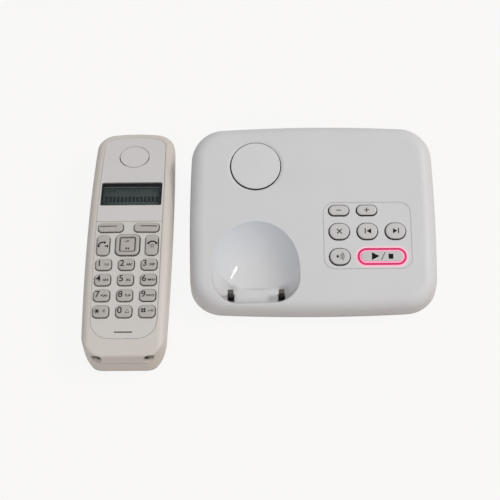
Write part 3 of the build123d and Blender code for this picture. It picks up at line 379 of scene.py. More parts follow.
class Finishes:
    """Every finish of the phone, named for what it is made of."""

    # Housings: injection-moulded ABS, pale and satin, so that light falls off softly over the round edges
    # this finish also carries the bowl's painted shade and the painted glow round the light guide
    BASE_ABS = BowlPlastic("base_moulded_abs", "#D1D0D0", 0.42, shade="#CCCACA", edge=0.5)
    HANDSET_ABS = MouldedPlastic("handset_moulded_abs", "#D0C9C2", 0.42, shade="#C9C1B9", edge=0.8)
    # Underside tray: the same ABS from a coarser mould, duller than the top
    TRAY_ABS = MouldedPlastic("tray_moulded_abs", "#CFCCCA", 0.5, shade="#C8C5C2", grain=0.8, edge=0.3)
    # Upper inlay: ABS from a polished mould, smoother and cooler than the housing round it
    PANEL_ABS = MouldedPlastic("display_panel_abs", "#D0CCCA", 0.33, shade="#CAC6C4", relief=0.008, edge=0.15)
    # Lower inlay: ABS from a spark-eroded mould, with a fine sand that takes the gloss away
    KEYPAD_ABS = MouldedPlastic(
        "keypad_spark_textured_abs", "#CFCBC6", 0.5, shade="#C8C3BD", relief=0.05, edge=0.15,
    )
    # Key tops: ABS with a light lacquer, a little glossier than the housings
    BASE_KEY_ABS = MouldedPlastic("base_key_abs", "#C6C4C2", 0.38, shade="#C1BFBD", relief=0.01, edge=0.1)
    PAGING_ABS = MouldedPlastic("paging_key_abs", "#D3D2D1", 0.42, shade="#CECDCC", relief=0.01, edge=0.1)
    HANDSET_KEY_ABS = MouldedPlastic(
        "handset_key_abs", "#B4AEA8", 0.36, shade="#AEA7A1", relief=0.008, edge=0.1,
    )
    # Key walls and flanges: painted shade, a dark grey under each key's lighter top that stands in for the
    # shade in the gap round the key
    HANDSET_KEY_WALL_SHADE = MouldedPlastic(
        "handset_key_wall_painted_shade", "#746D67", 0.55, shade="#6C655F", relief=0.01, edge=0.05,
    )
    BASE_KEY_WALL_SHADE = MouldedPlastic(
        "base_key_wall_painted_shade", "#393634", 0.55, shade="#33302E", relief=0.01, edge=0.05,
    )
    # Sockets and sound parts: black ABS, seen only in openings; it also paints the shade in the screws' cross
    # slots
    BLACK_ABS = MouldedPlastic("black_moulded_abs", "#1C1C1D", 0.5, shade="#232324")
    # Feet: moulded rubber, black and dull with a dusty speckle
    RUBBER = SpeckledSheet("foot_rubber", "#2B2B2B", 0.8, contrast=0.3)
    # Key mats: pressed silicone, milky and without gloss
    SILICONE = SpeckledSheet("key_mat_silicone", "#C9C8C2", 0.6)
    # Boards: glass-fibre laminate under green solder mask, with the weave just showing
    LAMINATE = SpeckledSheet("circuit_board_laminate", "#1F5A34", 0.45, speck=0.8, contrast=0.2)
    # Screws and contacts: rolled steel with nickel plating, bright with fine streaks
    STEEL = PlatedSteel("nickel_plated_steel", "#A9A6A0", 0.32, metallic=1.0)
    # Prongs: the same plating darkened as painted shade, for the shade and the dark reflections on the prongs
    PRONG_STEEL_SHADED = PlatedSteel("prong_steel_painted_shade", "#5E5A55", 0.3, metallic=1.0)
    # Cells: plain shrink sleeve of glossy green film
    SLEEVE = SpeckledSheet("cell_shrink_sleeve", "#3E7A4C", 0.3, contrast=0.05)
    # Light guide: frosted acrylic with a lamp behind it, pale at its edges and deep pink along its middle
    LIGHT_GUIDE = LitGuide("frosted_light_guide", "#F6C0CF", 0.4, glow="#FF8FB4", power=0.5)
    LIGHT_CORE = LitGuide("light_guide_core", "#B01E54", 0.35, glow="#C0245E", power=0.25)
    # Lens: clear polished acrylic, which only its gloss gives away
    LENS = ClearLens("clear_acrylic_lens", "#3A3F3E", 0.05, ior=1.49)
    # Display: grey-green liquid crystal glass, bonded to the lens and so without gloss of its own
    DISPLAY = SpeckledSheet("display_glass", "#4D5857", 0.3, ior=1.1, speck=0.5, contrast=0.05)
    # Painted highlight: a pale strip along the display glass's upper edge
    DISPLAY_EDGE_HIGHLIGHT = SpeckledSheet("display_edge_painted_highlight", "#8D8E88", 0.4, ior=1.1, contrast=0.1)
    DISPLAY_MARK = SpeckledSheet("display_segments", "#20282D", 0.4, ior=1.1, contrast=0.05)
    # Gasket and earpiece felt: black foam and felt, which swallow the light
    GASKET = SpeckledSheet("display_gasket_foam", "#1A1A1A", 0.7, ior=1.1, contrast=0.3)
    FELT = SpeckledSheet("earpiece_felt", "#141414", 0.9, ior=1.1, contrast=0.3)
    # Print: pad-printed ink, flat and dull on the lacquer
    BLACK_INK = SpeckledSheet("black_key_print", "#110F0F", 0.5, ior=1.2, contrast=0.15)
    GREY_INK = SpeckledSheet("grey_key_print", "#332F2C", 0.5, ior=1.2, contrast=0.1)


@dataclass(frozen=True)
class Seat:
    """A flat place on the phone: a point, the way across it and the way out of it."""

    origin: Vector
    across: Vector
    out: Vector

    def matrix(self) -> Matrix:
        """The matrix that lays a flat drawing on this place.

        Returns:
            The matrix, for points in metres.
        """
        up = self.out.cross(self.across)
        turned = Matrix((self.across, up, self.out)).transposed().to_4x4()
        return Matrix.Translation(self.origin) @ turned

    def shifted(self, x: float = 0.0, y: float = 0.0, z: float = 0.0) -> "Seat":
        """The same place moved by millimetres along its own axes."""
        return Seat(self.matrix() @ (Vector((x, y, z)) * MM), self.across, self.out)


class Shape:
    """Ways of making the meshes of the phone's added pieces, all in metres."""

    @staticmethod
    def ring(width: float, height: float, corner: float, z: float, steps: int = 10) -> list[Vector]:
        """One rounded rectangle as a closed loop of points.

        Args:
            width: size across, in mm.
            height: size along, in mm.
            corner: radius of the corners, in mm.
            z: height over the drawing plane, in mm.
            steps: facets in a quarter turn.

        Returns:
            The points, anticlockwise.
        """
        points = []
        for turn, (side_x, side_y) in enumerate(((1, 1), (-1, 1), (-1, -1), (1, -1))):
            for step in range(steps + 1):
                angle = math.radians(90 * (turn + step / steps))
                x = side_x * (width / 2 - corner) + corner * math.cos(angle)
                y = side_y * (height / 2 - corner) + corner * math.sin(angle)
                points.append(Vector((x, y, z)) * MM)
        return points

    @staticmethod
    def skin(
        made: bmesh.types.BMesh, rings: list[list[Vector]], closed: bool = False,
    ) -> list[list[bmesh.types.BMVert]]:
        """Joins rings of equal count by a skin of four-sided faces.

        Args:
            made: the bmesh that takes them.
            rings: the loops, in order.
            closed: whether the last ring is joined to the first.

        Returns:
            The rings' vertices.
        """
        loops = [[made.verts.new(point) for point in ring] for ring in rings]
        following = loops[1:] + loops[:1] if closed else loops[1:]
        for low, high in zip(loops, following):
            for i, start in enumerate(low):
                j = (i + 1) % len(low)
                made.faces.new((start, low[j], high[j], high[i]))
        return loops

    @staticmethod
    def loft(name: str, rings: list[list[Vector]]) -> bpy.types.Mesh:
        """A closed skin over rings of equal count, from the lowest to the middle of the top.

        Args:
            name: the mesh's name.
            rings: the loops, in order.

        Returns:
            The mesh.
        """
        made = bmesh.new()
        loops = Shape.skin(made, rings)
        made.faces.new(reversed(loops[0]))
        made.faces.new(loops[-1])
        return Shape.mesh(name, made, smooth=True)

    @staticmethod
    def band(name: str, rings: list[list[Vector]]) -> bpy.types.Mesh:
        """A closed band whose cross-section runs through rings of equal count and back to the first.

        Args:
            name: the mesh's name.
            rings: the loops, in order round the cross-section.

        Returns:
            The mesh.
        """
        made = bmesh.new()
        Shape.skin(made, rings, closed=True)
        bmesh.ops.recalc_face_normals(made, faces=made.faces)
        return Shape.mesh(name, made)

    @staticmethod
    def plate(name: str, outlines: Iterable[Outline], thickness: float) -> bpy.types.Mesh:
        """Flat marks of one thickness, each drawn as a closed outline in mm.

        Args:
            name: the mesh's name.
            outlines: the marks, anticlockwise.
            thickness: height of the marks, in mm, half of it below the plane.

        Returns:
            The mesh.
        """
        made = bmesh.new()
        for outline in outlines:
            floor = [made.verts.new(Vector((x, y, -thickness / 2)) * MM) for x, y in outline]
            roof = [made.verts.new(Vector((x, y, thickness / 2)) * MM) for x, y in outline]
            made.faces.new(roof)
            made.faces.new(reversed(floor))
            for i, low in enumerate(floor):
                j = (i + 1) % len(floor)
                made.faces.new((low, floor[j], roof[j], roof[i]))
        bmesh.ops.recalc_face_normals(made, faces=made.faces)
        return Shape.mesh(name, made)

    @staticmethod
    def lettering(name: str, words: str, size: float, weight: float, thickness: float) -> bpy.types.Mesh:
        """Printed characters as a mesh, centred on the drawing plane.

        Args:
            name: the mesh's name.
            words: the characters.
            size: height of the type, in mm.
            weight: what the strokes gain on each side, in mm.
            thickness: height of the print, in mm.

        Returns:
            The mesh.
        """
        curve = bpy.data.curves.new(name, "FONT")
        curve.body = words
        curve.size = size * MM
        curve.offset = weight * MM
        curve.extrude = thickness / 2 * MM
        curve.align_x = "CENTER"
        curve.align_y = "CENTER"
        curve.resolution_u = 4
        holder = bpy.data.objects.new(name, curve)
        bpy.context.collection.objects.link(holder)
        made = plain_mesh(holder)
        bpy.data.objects.remove(holder)
        bpy.data.curves.remove(curve)
        return made

    @staticmethod
    def mesh(name: str, made: bmesh.types.BMesh, smooth: bool = False) -> bpy.types.Mesh:
        """Turns a finished bmesh into a mesh, round where smooth is asked for.

        Args:
            name: the mesh's name.
            made: the bmesh, which is freed.
            smooth: whether its faces are shaded round.

        Returns:
            The mesh.
        """
        result = bpy.data.meshes.new(name)
        made.to_mesh(result)
        made.free()
        result.polygons.foreach_set("use_smooth", [smooth] * len(result.polygons))
        return result


class Mark:
    """Outlines of the printed symbols, in mm round the middle of each."""

    @staticmethod
    def bar(width: float, height: float, x: float = 0.0, y: float = 0.0, lean: float = 0.0) -> Outline:
        """A straight stroke, turned by lean degrees.

        Args:
            width: its size across.
            height: its size along.
            x: place of its middle across.
            y: place of its middle along.
            lean: degrees that it is turned.

        Returns:
            The outline.
        """
        turn = math.radians(lean)
        corners = ((-1, -1), (1, -1), (1, 1), (-1, 1))
        flat = [(width / 2 * sx, height / 2 * sy) for sx, sy in corners]
        return [
            (x + a * math.cos(turn) - b * math.sin(turn), y + a * math.sin(turn) + b * math.cos(turn))
            for a, b in flat
        ]

    @staticmethod
    def wedge(width: float, height: float, x: float = 0.0, y: float = 0.0) -> Outline:
        """A triangle that points to the right, or to the left where width is negative."""
        return [(x - width / 2, y - height / 2), (x + width / 2, y), (x - width / 2, y + height / 2)]

    @staticmethod
    def arc(
        radius: float, stroke: float, start: float, end: float, x: float = 0.0, y: float = 0.0,
    ) -> Outline:
        """A curved stroke.

        Args:
            radius: of the stroke's middle line.
            stroke: how thick it is.
            start: the angle that it starts at, in degrees.
            end: the angle that it ends at.
            x: place of the arc's centre across.
            y: place of the arc's centre along.

        Returns:
            The outline.
        """
        steps = max(6, int(abs(end - start) / 8))  # a facet for every 8 degrees
        angles = [math.radians(start + (end - start) * i / steps) for i in range(steps + 1)]
        outer, inner = (
            [(x + reach * math.cos(a), y + reach * math.sin(a)) for a in angles]
            for reach in (radius + stroke / 2, radius - stroke / 2)
        )
        return outer + inner[::-1]

    @staticmethod
    def disc(radius: float, x: float = 0.0, y: float = 0.0) -> Outline:
        """A dot.

        Args:
            radius: of the dot.
            x: place of its middle across.
            y: place of its middle along.

        Returns:
            The outline.
        """
        return [
            (x + radius * math.cos(math.radians(a)), y + radius * math.sin(math.radians(a)))
            for a in range(0, 360, 20)  # degrees
        ]

    @staticmethod
    def receiver(size: float, x: float = 0.0, y: float = 0.0, lean: float = 0.0) -> list[Outline]:
        """A telephone receiver: a curved handle with two thick ends.

        Args:
            size: about how wide it is.
            x: place of its middle across.
            y: place of its middle along.
            lean: degrees that it is turned.

        Returns:
            The outlines of the handle and the two ends.
        """
        bow, reach, stroke, cup = (size * share for share in (0.62, 0.6, 0.2, 0.3))
        low = y - bow * 0.5  # the middle of the handle's arc
        handle = Mark.arc(bow, stroke, 148 + lean, 32 + lean, x, low)
        ends = []
        for angle in (150 + lean, 30 + lean):
            a = math.radians(angle)
            place = (x + reach * math.cos(a), low + reach * math.sin(a))
            ends.append(Mark.bar(stroke, cup, *place, angle - 90))
        return [handle, *ends]


def plain_mesh(holder: bpy.types.Object) -> bpy.types.Mesh:
    """What an object looks like once its modifiers and curves are worked out, as a plain mesh.

    Args:
        holder: the object, which is linked to the scene.

    Returns:
        The mesh.
    """
    graph = bpy.context.evaluated_depsgraph_get()
    graph.update()
    return bpy.data.meshes.new_from_object(holder.evaluated_get(graph))


def add_piece(
    mesh: bpy.types.Mesh, finish: Finish, body: str, seat: Seat | None = None,
) -> bpy.types.Object:
    """Puts a finished mesh into the scene as a piece of the phone.

    Args:
        mesh: the mesh; its name becomes the piece's name.
        finish: what its surface is made of.
        body: the body that carries it.
        seat: the place that a flat drawing is laid on.

    Returns:
        The piece.
    """
    if seat:
        mesh.transform(seat.matrix())
    mesh.materials.clear()
    mesh.materials.append(finish.material())
    piece = bpy.data.objects.new(mesh.name, mesh)
    bpy.context.collection.objects.link(piece)
    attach(piece, body)
    LOG.info("piece %s rides on %s", piece.name, body)
    return piece


def dress(finish: Finish, *nodes: str) -> None:
    """Gives CAD nodes their finish.

    Args:
        finish: what they are made of.
        *nodes: the nodes' names.
    """
    for name in nodes:
        node = frame["nodes"][name]
        node.data.materials.clear()
        node.data.materials.append(finish.material())
        LOG.info("node %s is %s", name, finish.name)


def node_points(name: str) -> list[Vector]:
    """The corner points of a CAD node's mesh."""
    return [vertex.co for vertex in frame["nodes"][name].data.vertices]


def press_axis(name: str) -> Vector:
    """The way out of a key, from the joint that presses it in."""
    joint = next(j for j in frame["joints"] if j["name"] == f"press_{name}")
    return -Vector(joint["axis"]).normalized()


class CapForm(Enum):
    """How a key's cap is finished on top."""

    PILLOW = "soft edges all round a flat top"
    FRAME = "a raised frame round a sunken plate"


@dataclass
class KeyCap:
    """One key's cap, with rounder edges than the solid that it stands for."""

    node: str
    finish: Finish
    wall_light_and_shade: Finish  # painted shade on the cap's lower wall and flange, for the shade in the gap round the cap; painted glow on the play key
    slot: str
    corner: float  # mm
    out: Vector  # the way out of the key
    edge_width: float = 1.1  # mm that the soft edge takes from the top
    edge_height: float = 0.75
    shade_line_depth: float = 0.8  # share of the soft edge that the top's tone reaches down; the wall's painted shade starts under it
    turn: float = 0.0  # degrees
    lead: float = 0.0  # mm that the flat top lies nearer to the key's upper side
    slack: float = 0.12  # mm that the cap is narrower on each side than its solid
    drift: tuple[float, float] = (0.0, 0.0)  # mm that the cap sits off the middle of its opening
    flange: float = 0.45  # mm round the foot of the cap
    flange_thickness: float = 0.8
    outline_slice: float = 1.0  # mm under the top in which the solid's outline is read
    least_corner: float = 0.05  # mm
    form: CapForm = CapForm.PILLOW
    frame_profile: tuple[tuple[float, float], ...] = (  # mm inwards of the soft edge, and mm over the top
        (0.55, 0.0), (0.75, -0.1), (1.05, -1.3), (1.4, -1.35), (1.5, -0.5), (1.75, -0.42),
    )
    seat: Seat = field(init=False)
    width: float = field(init=False)
    height: float = field(init=False)
    depth: float = field(init=False)

    def __post_init__(self) -> None:
        """Reads the cap's place and size from its CAD node."""
        across = Matrix.Rotation(math.radians(self.turn), 3, self.out) @ RIGHT
        up = self.out.cross(across)
        points = node_points(self.node)
        top = max(p.dot(self.out) for p in points)
        cap = [p for p in points if p.dot(self.out) > top - self.outline_slice * MM]
        spans = []
        for axis in (across, up):
            reach = [p.dot(axis) for p in cap]
            spans.append((min(reach), max(reach)))
        origin = sum((axis * sum(span) / 2 for axis, span in zip((across, up), spans)), self.out * top)
        self.seat = Seat(origin, across, self.out)
        self.width, self.height = ((high - low) / MM for low, high in spans)
        self.depth = (top - min(p.dot(self.out) for p in points)) / MM

    def outline(self, inset: float, z: float) -> list[Vector]:
        """The cap's outline drawn in by inset, at a height under its top."""
        corner = max(self.corner - inset, self.least_corner)
        return Shape.ring(self.width - 2 * inset, self.height - 2 * inset, corner, z)

    def wall(self, inset: float, z: float) -> list[Vector]:
        """The outline of the cap over its flange, where it stands in its opening.

        Args:
            inset: mm that it is drawn in.
            z: mm over the top.

        Returns:
            The ring.
        """
        rise = self.lead * inset / self.edge_width
        shift = Vector((self.drift[0], self.drift[1] + rise, 0)) * MM
        return [point + shift for point in self.outline(self.slack + inset, z)]

    def soft_edge(self, steps: int = 7) -> list[list[Vector]]:
        """The rings of the rounded top edge.

        Args:
            steps: facets of the rounding.

        Returns:
            The rings, from the lowest up.
        """
        rings = []
        for step in range(steps + 1):
            angle = math.radians(90 * step / steps)
            inset = self.edge_width * (1 - math.cos(angle))
            rings.append(self.wall(inset, self.edge_height * (math.sin(angle) - 1)))
        return rings

    def rings(self) -> list[list[Vector]]:
        """Every ring of the cap, from its flange to its top.

        Returns:
            The rings, from the lowest up.
        """
        flange_top = self.flange_thickness - self.depth
        stack = [
            self.outline(-self.flange, -self.depth),
            self.outline(-self.flange, flange_top),
            self.wall(0, flange_top),
            *self.soft_edge(),
        ]
        if self.form is CapForm.FRAME:
            stack += [self.wall(self.edge_width + inset, z) for inset, z in self.frame_profile]
        return stack

    def build(self) -> bpy.types.Object:
        """Makes the cap and lets it stand for its CAD node.

        Returns:
            The cap.
        """
        mesh = Shape.loft(f"{self.node}_cap", self.rings())
        # faces under this level take the wall's painted shade
        painted = -self.shade_line_depth * self.edge_height * MM
        below = [int(polygon.center.z < painted) for polygon in mesh.polygons]
        piece = add_piece(mesh, self.finish, self.node, self.seat)
        mesh.materials.append(self.wall_light_and_shade.material())
        mesh.polygons.foreach_set("material_index", below)
        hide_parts(self.node)
        return piece

    def print(
        self, name: str, marks: list[Outline], ink: Finish, x: float = 0.0, y: float = 0.0, z: float = 0.0,
    ) -> None:
        """Prints a symbol on the cap."""
        mesh = Shape.plate(f"{self.node}_{name}", marks, PRINT_FILM)
        add_piece(mesh, ink, self.node, self.seat.shifted(x, y, z))

    def letter(
        self, name: str, words: str, size: float, weight: float, ink: Finish, x: float = 0.0, y: float = 0.0,
    ) -> None:
        """Prints characters on the cap."""
        mesh = Shape.lettering(f"{self.node}_{name}", words, size, weight, PRINT_FILM)
        add_piece(mesh, ink, self.node, self.seat.shifted(x, y))


@dataclass
class NodePiece:
    """A piece made by a Geometry Nodes tree, then kept as a plain mesh."""

    name: str
    finish: Finish

    def values(self) -> dict[str, tuple[str, float]]:
        """The tree's named inputs: for each, the socket's type and its value."""
        raise NotImplementedError

    def points(self) -> list[Vector]:
        """The points that the tree starts from."""
        return []

    def grow(self, tree: bpy.types.NodeTree, given: bpy.types.NodeOutputs) -> bpy.types.NodeSocket:
        """Adds the piece's own nodes.

        Args:
            tree: the tree that takes them.
            given: the tree's inputs.

        Returns:
            The output that gives the instances.
        """
        raise NotImplementedError

    def tree(self) -> bpy.types.NodeTree:
        """The whole tree, which ends in real geometry with its material.

        Returns:
            The tree.
        """
        tree = bpy.data.node_groups.new(self.name, "GeometryNodeTree")
        tree.interface.new_socket("Geometry", in_out="INPUT", socket_type="NodeSocketGeometry")
        for label, (kind, value) in self.values().items():
            tree.interface.new_socket(label, in_out="INPUT", socket_type=kind).default_value = value
        tree.interface.new_socket("Geometry", in_out="OUTPUT", socket_type="NodeSocketGeometry")
        instances = self.grow(tree, add_node(tree, "NodeGroupInput").outputs)
        real = add_node(tree, "GeometryNodeRealizeInstances", {"Geometry": instances})
        dressed = add_node(tree, "GeometryNodeSetMaterial", {
            "Geometry": real.outputs["Geometry"], "Material": self.finish.material(),
        })
        add_node(tree, "NodeGroupOutput", {"Geometry": dressed.outputs["Geometry"]})
        return tree

    def mesh(self) -> bpy.types.Mesh:
        """The piece as a plain mesh.

        Returns:
            The mesh.
        """
        start = bpy.data.meshes.new(self.name)
        start.from_pydata(self.points(), [], [])
        holder = bpy.data.objects.new(self.name, start)
        bpy.context.collection.objects.link(holder)
        modifier = holder.modifiers.new("nodes", "NODES")
        modifier.node_group = self.tree()
        for item in modifier.node_group.interface.items_tree:
            if item.in_out == "INPUT" and item.name in self.values():
                modifier[item.identifier] = self.values()[item.name][1]
        made = plain_mesh(holder)
        bpy.data.objects.remove(holder)
        bpy.data.meshes.remove(start)
        made.name = self.name
        return made


@dataclass
class CellRow(NodePiece):
    """A row of character cells, each a block of small square dots."""

    cells: int
    pitch: float  # mm between cells
    dots_across: int
    dots_down: int
    dot: float  # mm
    dot_pitch: float

    def values(self) -> dict[str, tuple[str, float]]:
        """Counts and pitches of the cells and of their dots.

        Returns:
            For each input, the socket's type and its value.
        """
        return {
            "Cells": ("NodeSocketInt", self.cells),
            "Cell Pitch": ("NodeSocketFloat", self.pitch * MM),
            "Dots Across": ("NodeSocketInt", self.dots_across),
            "Dots Down": ("NodeSocketInt", self.dots_down),
            "Dot Pitch": ("NodeSocketFloat", self.dot_pitch * MM),
            "Dot Size": ("NodeSocketFloat", self.dot * MM),
        }

    def grow(self, tree: bpy.types.NodeTree, given: bpy.types.NodeOutputs) -> bpy.types.NodeSocket:
        """Dots on a grid, and that grid on a row.

        Args:
            tree: the tree that takes them.
            given: the tree's inputs.

        Returns:
            The output that gives the cells.
        """
        dot_box = add_node(tree, "ShaderNodeCombineXYZ", {
            "X": given["Dot Size"], "Y": given["Dot Size"], "Z": THIN_FILM * MM,
        })
        dot = add_node(tree, "GeometryNodeMeshCube", {"Size": dot_box.outputs["Vector"]})
        pitches = {"Dots Across": "Dot Pitch", "Dots Down": "Dot Pitch", "Cells": "Cell Pitch"}
        spans = {}
        for count, pitch in pitches.items():
            gaps = add_node(tree, "ShaderNodeMath", {0: given[count], 1: 1.0}, operation="SUBTRACT")
            spans[count] = add_node(tree, "ShaderNodeMath", {
                0: gaps.outputs[0], 1: given[pitch],
            }, operation="MULTIPLY").outputs[0]
        block = add_node(tree, "GeometryNodeMeshGrid", {
            "Size X": spans["Dots Across"], "Size Y": spans["Dots Down"],
            "Vertices X": given["Dots Across"], "Vertices Y": given["Dots Down"],
        })
        dots = add_node(tree, "GeometryNodeInstanceOnPoints", {
            "Points": block.outputs["Mesh"], "Instance": dot.outputs["Mesh"],
        })
        row = add_node(tree, "GeometryNodeMeshGrid", {
            "Size X": spans["Cells"], "Size Y": 0.0, "Vertices X": given["Cells"], "Vertices Y": 1,
        })
        cells = add_node(tree, "GeometryNodeInstanceOnPoints", {
            "Points": row.outputs["Mesh"], "Instance": dots.outputs["Instances"],
        })
        return cells.outputs["Instances"]


@dataclass
class ScrewSlotShade(NodePiece):
    """Painted shade in the cross slots of one node's screws: dark crossed bars laid on their heads."""

    node: str
    length: float  # mm
    stroke: float = 0.7
    spread: float = 8.0  # mm, points nearer than this belong to one screw
    head_slice: float = 0.1  # mm over the lowest point in which a head's rim is read

    def values(self) -> dict[str, tuple[str, float]]:
        """Size of a cross.

        Returns:
            For each input, the socket's type and its value.
        """
        return {
            "Length": ("NodeSocketFloat", self.length * MM),
            "Stroke": ("NodeSocketFloat", self.stroke * MM),
        }

    def points(self) -> list[Vector]:
        """The middle of each screw's head, on the side that a driver reaches.

        Returns:
            One point for each screw.
        """
        screws: list[list[Vector]] = []
        for point in node_points(self.node):
            near = next((s for s in screws if (s[0].xy - point.xy).length < self.spread * MM), None)
            if near is None:
                screws.append([point])
            else:
                near.append(point)
        heads = []
        for screw in screws:
            low = min(p.z for p in screw)
            rim = [p for p in screw if p.z < low + self.head_slice * MM]
            heads.append(sum(rim, Vector()) / len(rim))
        return heads

    def grow(self, tree: bpy.types.NodeTree, given: bpy.types.NodeOutputs) -> bpy.types.NodeSocket:
        """Two crossed bars on every head.

        Args:
            tree: the tree that takes them.
            given: the tree's inputs.

        Returns:
            The output that gives the crossed bars.
        """
        cross = add_node(tree, "GeometryNodeJoinGeometry")
        for long_side, short_side in (("X", "Y"), ("Y", "X")):
            size = add_node(tree, "ShaderNodeCombineXYZ", {
                long_side: given["Length"], short_side: given["Stroke"], "Z": THIN_FILM * MM,
            })
            bar = add_node(tree, "GeometryNodeMeshCube", {"Size": size.outputs["Vector"]})
            tree.links.new(bar.outputs["Mesh"], cross.inputs["Geometry"])
        heads = add_node(tree, "GeometryNodeInstanceOnPoints", {
            "Points": given["Geometry"], "Instance": cross.outputs["Geometry"],
        })
        return heads.outputs["Instances"]

    def build(self, body: str) -> None:
        """Puts the painted shade of the cross slots into the scene, on the body that carries the screws."""
        add_piece(self.mesh(), self.finish, body)


@dataclass
class Handset:
    """The handset: housing, inlaid panels, display, keypad and foot."""

    body: str = "handset"
    number_corner: float = 2.2  # mm, corner radii of the caps
    softkey_corner: float = 2.2
    call_corner: float = 2.2
    nav_corner: float = 3.2
    number_lead: float = 0.4  # mm that a number key's flat top lies nearer to its upper side
    softkey_turn: float = 1.0  # degrees
    key_slack: float = 0.15  # mm that a cap is narrower on each side than its solid
    key_drift: tuple[float, float] = (-0.08, 0.08)  # mm that a cap sits off the middle of its opening
    digit_size: float = 5.2  # mm
    digit_weight: float = 0.04  # mm that the strokes gain on each side
    digit_place: tuple[float, float] = (-2.25, 0.4)  # mm from the middle of the key
    letter_size: float = 1.75
    letter_weight: float = 0.06
    letter_place: tuple[float, float] = (1.7, -0.35)
    long_word: tuple[float, float] = (1.5, 1.35)  # mm, size and place across of four letters
    letters: dict[str, str] = field(default_factory=lambda: {
        "2": "ABC", "3": "DEF", "4": "GHI", "5": "JKL", "6": "MNO", "7": "PQRS", "8": "TUV", "9": "WXYZ",
    })
    earpiece_radius: float = 8.3  # mm
    sounder_slice: float = 0.05  # mm under the sounder's top in which its face is read
    felt_rise: float = 1.4  # mm from the sounder to the middle of the felt
    felt_width: float = 0.66
    felt_thickness: float = 0.6
    felt_starts: tuple[float, float] = (181, 306)  # degrees at which the two strips of felt start
    felt_turn: float = 53  # degrees that each strip goes on for
    display_cells: int = 14
    display_cell_pitch: float = 2.14  # mm
    display_line_y: float = -2.0  # mm, the line of characters from the middle of the window
    sign_row_y: float = 3.8  # mm, the small signs over that line
    pointer_row_y: float = -6.7  # mm, the pointers under it
    glass_gap: float = 0.4  # mm that the glass is smaller than the window
    glass_corner: float = 0.4
    glass_levels: tuple[float, float] = (0.02, 0.3)  # mm over the display module
    mark_level: float = 0.33
    # a painted highlight and a painted shade, two strips at the glass's upper edge: mm shorter than the
    # window, mm thick, mm under the gasket
    painted_edge_highlight: tuple[float, float, float] = (2.0, 0.4, 0.25)
    painted_edge_shade: tuple[float, float, float] = (1.2, 0.9, 0.9)
    gasket_level: float = 0.95
    gasket_height: float = 1.3
    gasket_wall: float = 0.6
    gasket_top: float = 1.65  # mm, the gasket's upper strip
    screw_slot: float = 2.2  # mm

    def dress_housing(self) -> None:
        """Gives the housing, the panels and the inner pieces their finishes."""
        dress(Finishes.HANDSET_ABS, "handset_front_shell", "handset_back_shell", "battery_cover")
        dress(Finishes.PANEL_ABS, "display_panel")
        dress(Finishes.KEYPAD_ABS, "keypad_panel")
        dress(Finishes.LENS, "display_window")
        dress(Finishes.BLACK_ABS, "display_module", "earpiece_speaker", "handset_ringer", "microphone")
        dress(Finishes.LAMINATE, "handset_circuit_board")
        dress(Finishes.SILICONE, "handset_key_mat")
        dress(Finishes.SLEEVE, "battery_cell_left", "battery_cell_right")
        dress(Finishes.STEEL, "battery_contacts", "handset_screws")
        dress(Finishes.STEEL, "handset_contact_left", "handset_contact_right")

    def build_display(self) -> None:
        """The display behind the lens: gasket, glass, a painted highlight and painted shade along the glass's
        upper edge, characters and small signs.
        """
        low, high = (Vector(corner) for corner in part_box("display_window"))
        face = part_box("display_module")[1][2]  # the height of the module's top
        centre = (low + high) / 2
        seat = Seat(Vector((centre.x, centre.y, face)), RIGHT, UPWARDS)
        width, height = (high.x - low.x) / MM, (high.y - low.y) / MM
        gap = self.glass_gap
        glass = Shape.loft("display_glass", [
            Shape.ring(width - gap, height - gap, self.glass_corner, z, 2) for z in self.glass_levels
        ])
        add_piece(glass, Finishes.DISPLAY, self.body, seat)
        gasket = Shape.plate("display_gasket", self.gasket_walls(width, height), self.gasket_height)
        add_piece(gasket, Finishes.GASKET, self.body, seat.shifted(z=self.gasket_level))
        glass_top = height / 2 - self.gasket_top
        ink = Finishes.DISPLAY_MARK
        over_glass = seat.shifted(z=self.mark_level)
        # painted highlight and painted shade: a pale and a dark strip along the glass's upper edge
        for name, finish, (less, stroke, drop) in (
            ("display_painted_edge_highlight", Finishes.DISPLAY_EDGE_HIGHLIGHT, self.painted_edge_highlight),
            ("display_painted_edge_shade", ink, self.painted_edge_shade),
        ):
            strip = Shape.plate(name, [Mark.bar(width - less, stroke, y=glass_top - drop)], THIN_FILM)
            add_piece(strip, finish, self.body, over_glass)
        line = CellRow(
            "display_characters", ink, cells=self.display_cells, pitch=self.display_cell_pitch,
            dots_across=4, dots_down=10, dot=0.37, dot_pitch=0.38,
        )
        add_piece(line.mesh(), ink, self.body, over_glass.shifted(y=self.display_line_y))
        signs = Shape.plate("display_signs", self.display_signs(), THIN_FILM)
        add_piece(signs, ink, self.body, over_glass)

    def gasket_walls(self, width: float, height: float) -> list[Outline]:
        """The four strips of the gasket, seen from above.

        Args:
            width: of the window, in mm.
            height: of the window, in mm.

        Returns:
            The outlines.
        """
        wall, top = self.gasket_wall, self.gasket_top
        ends = [Mark.bar(width, top, y=(height - top) / 2), Mark.bar(width, wall, y=-(height - wall) / 2)]
        sides = [
            Mark.bar(wall, height - wall - top, x=side * (width - wall) / 2, y=(wall - top) / 2)
            for side in (1, -1)
        ]
        return ends + sides

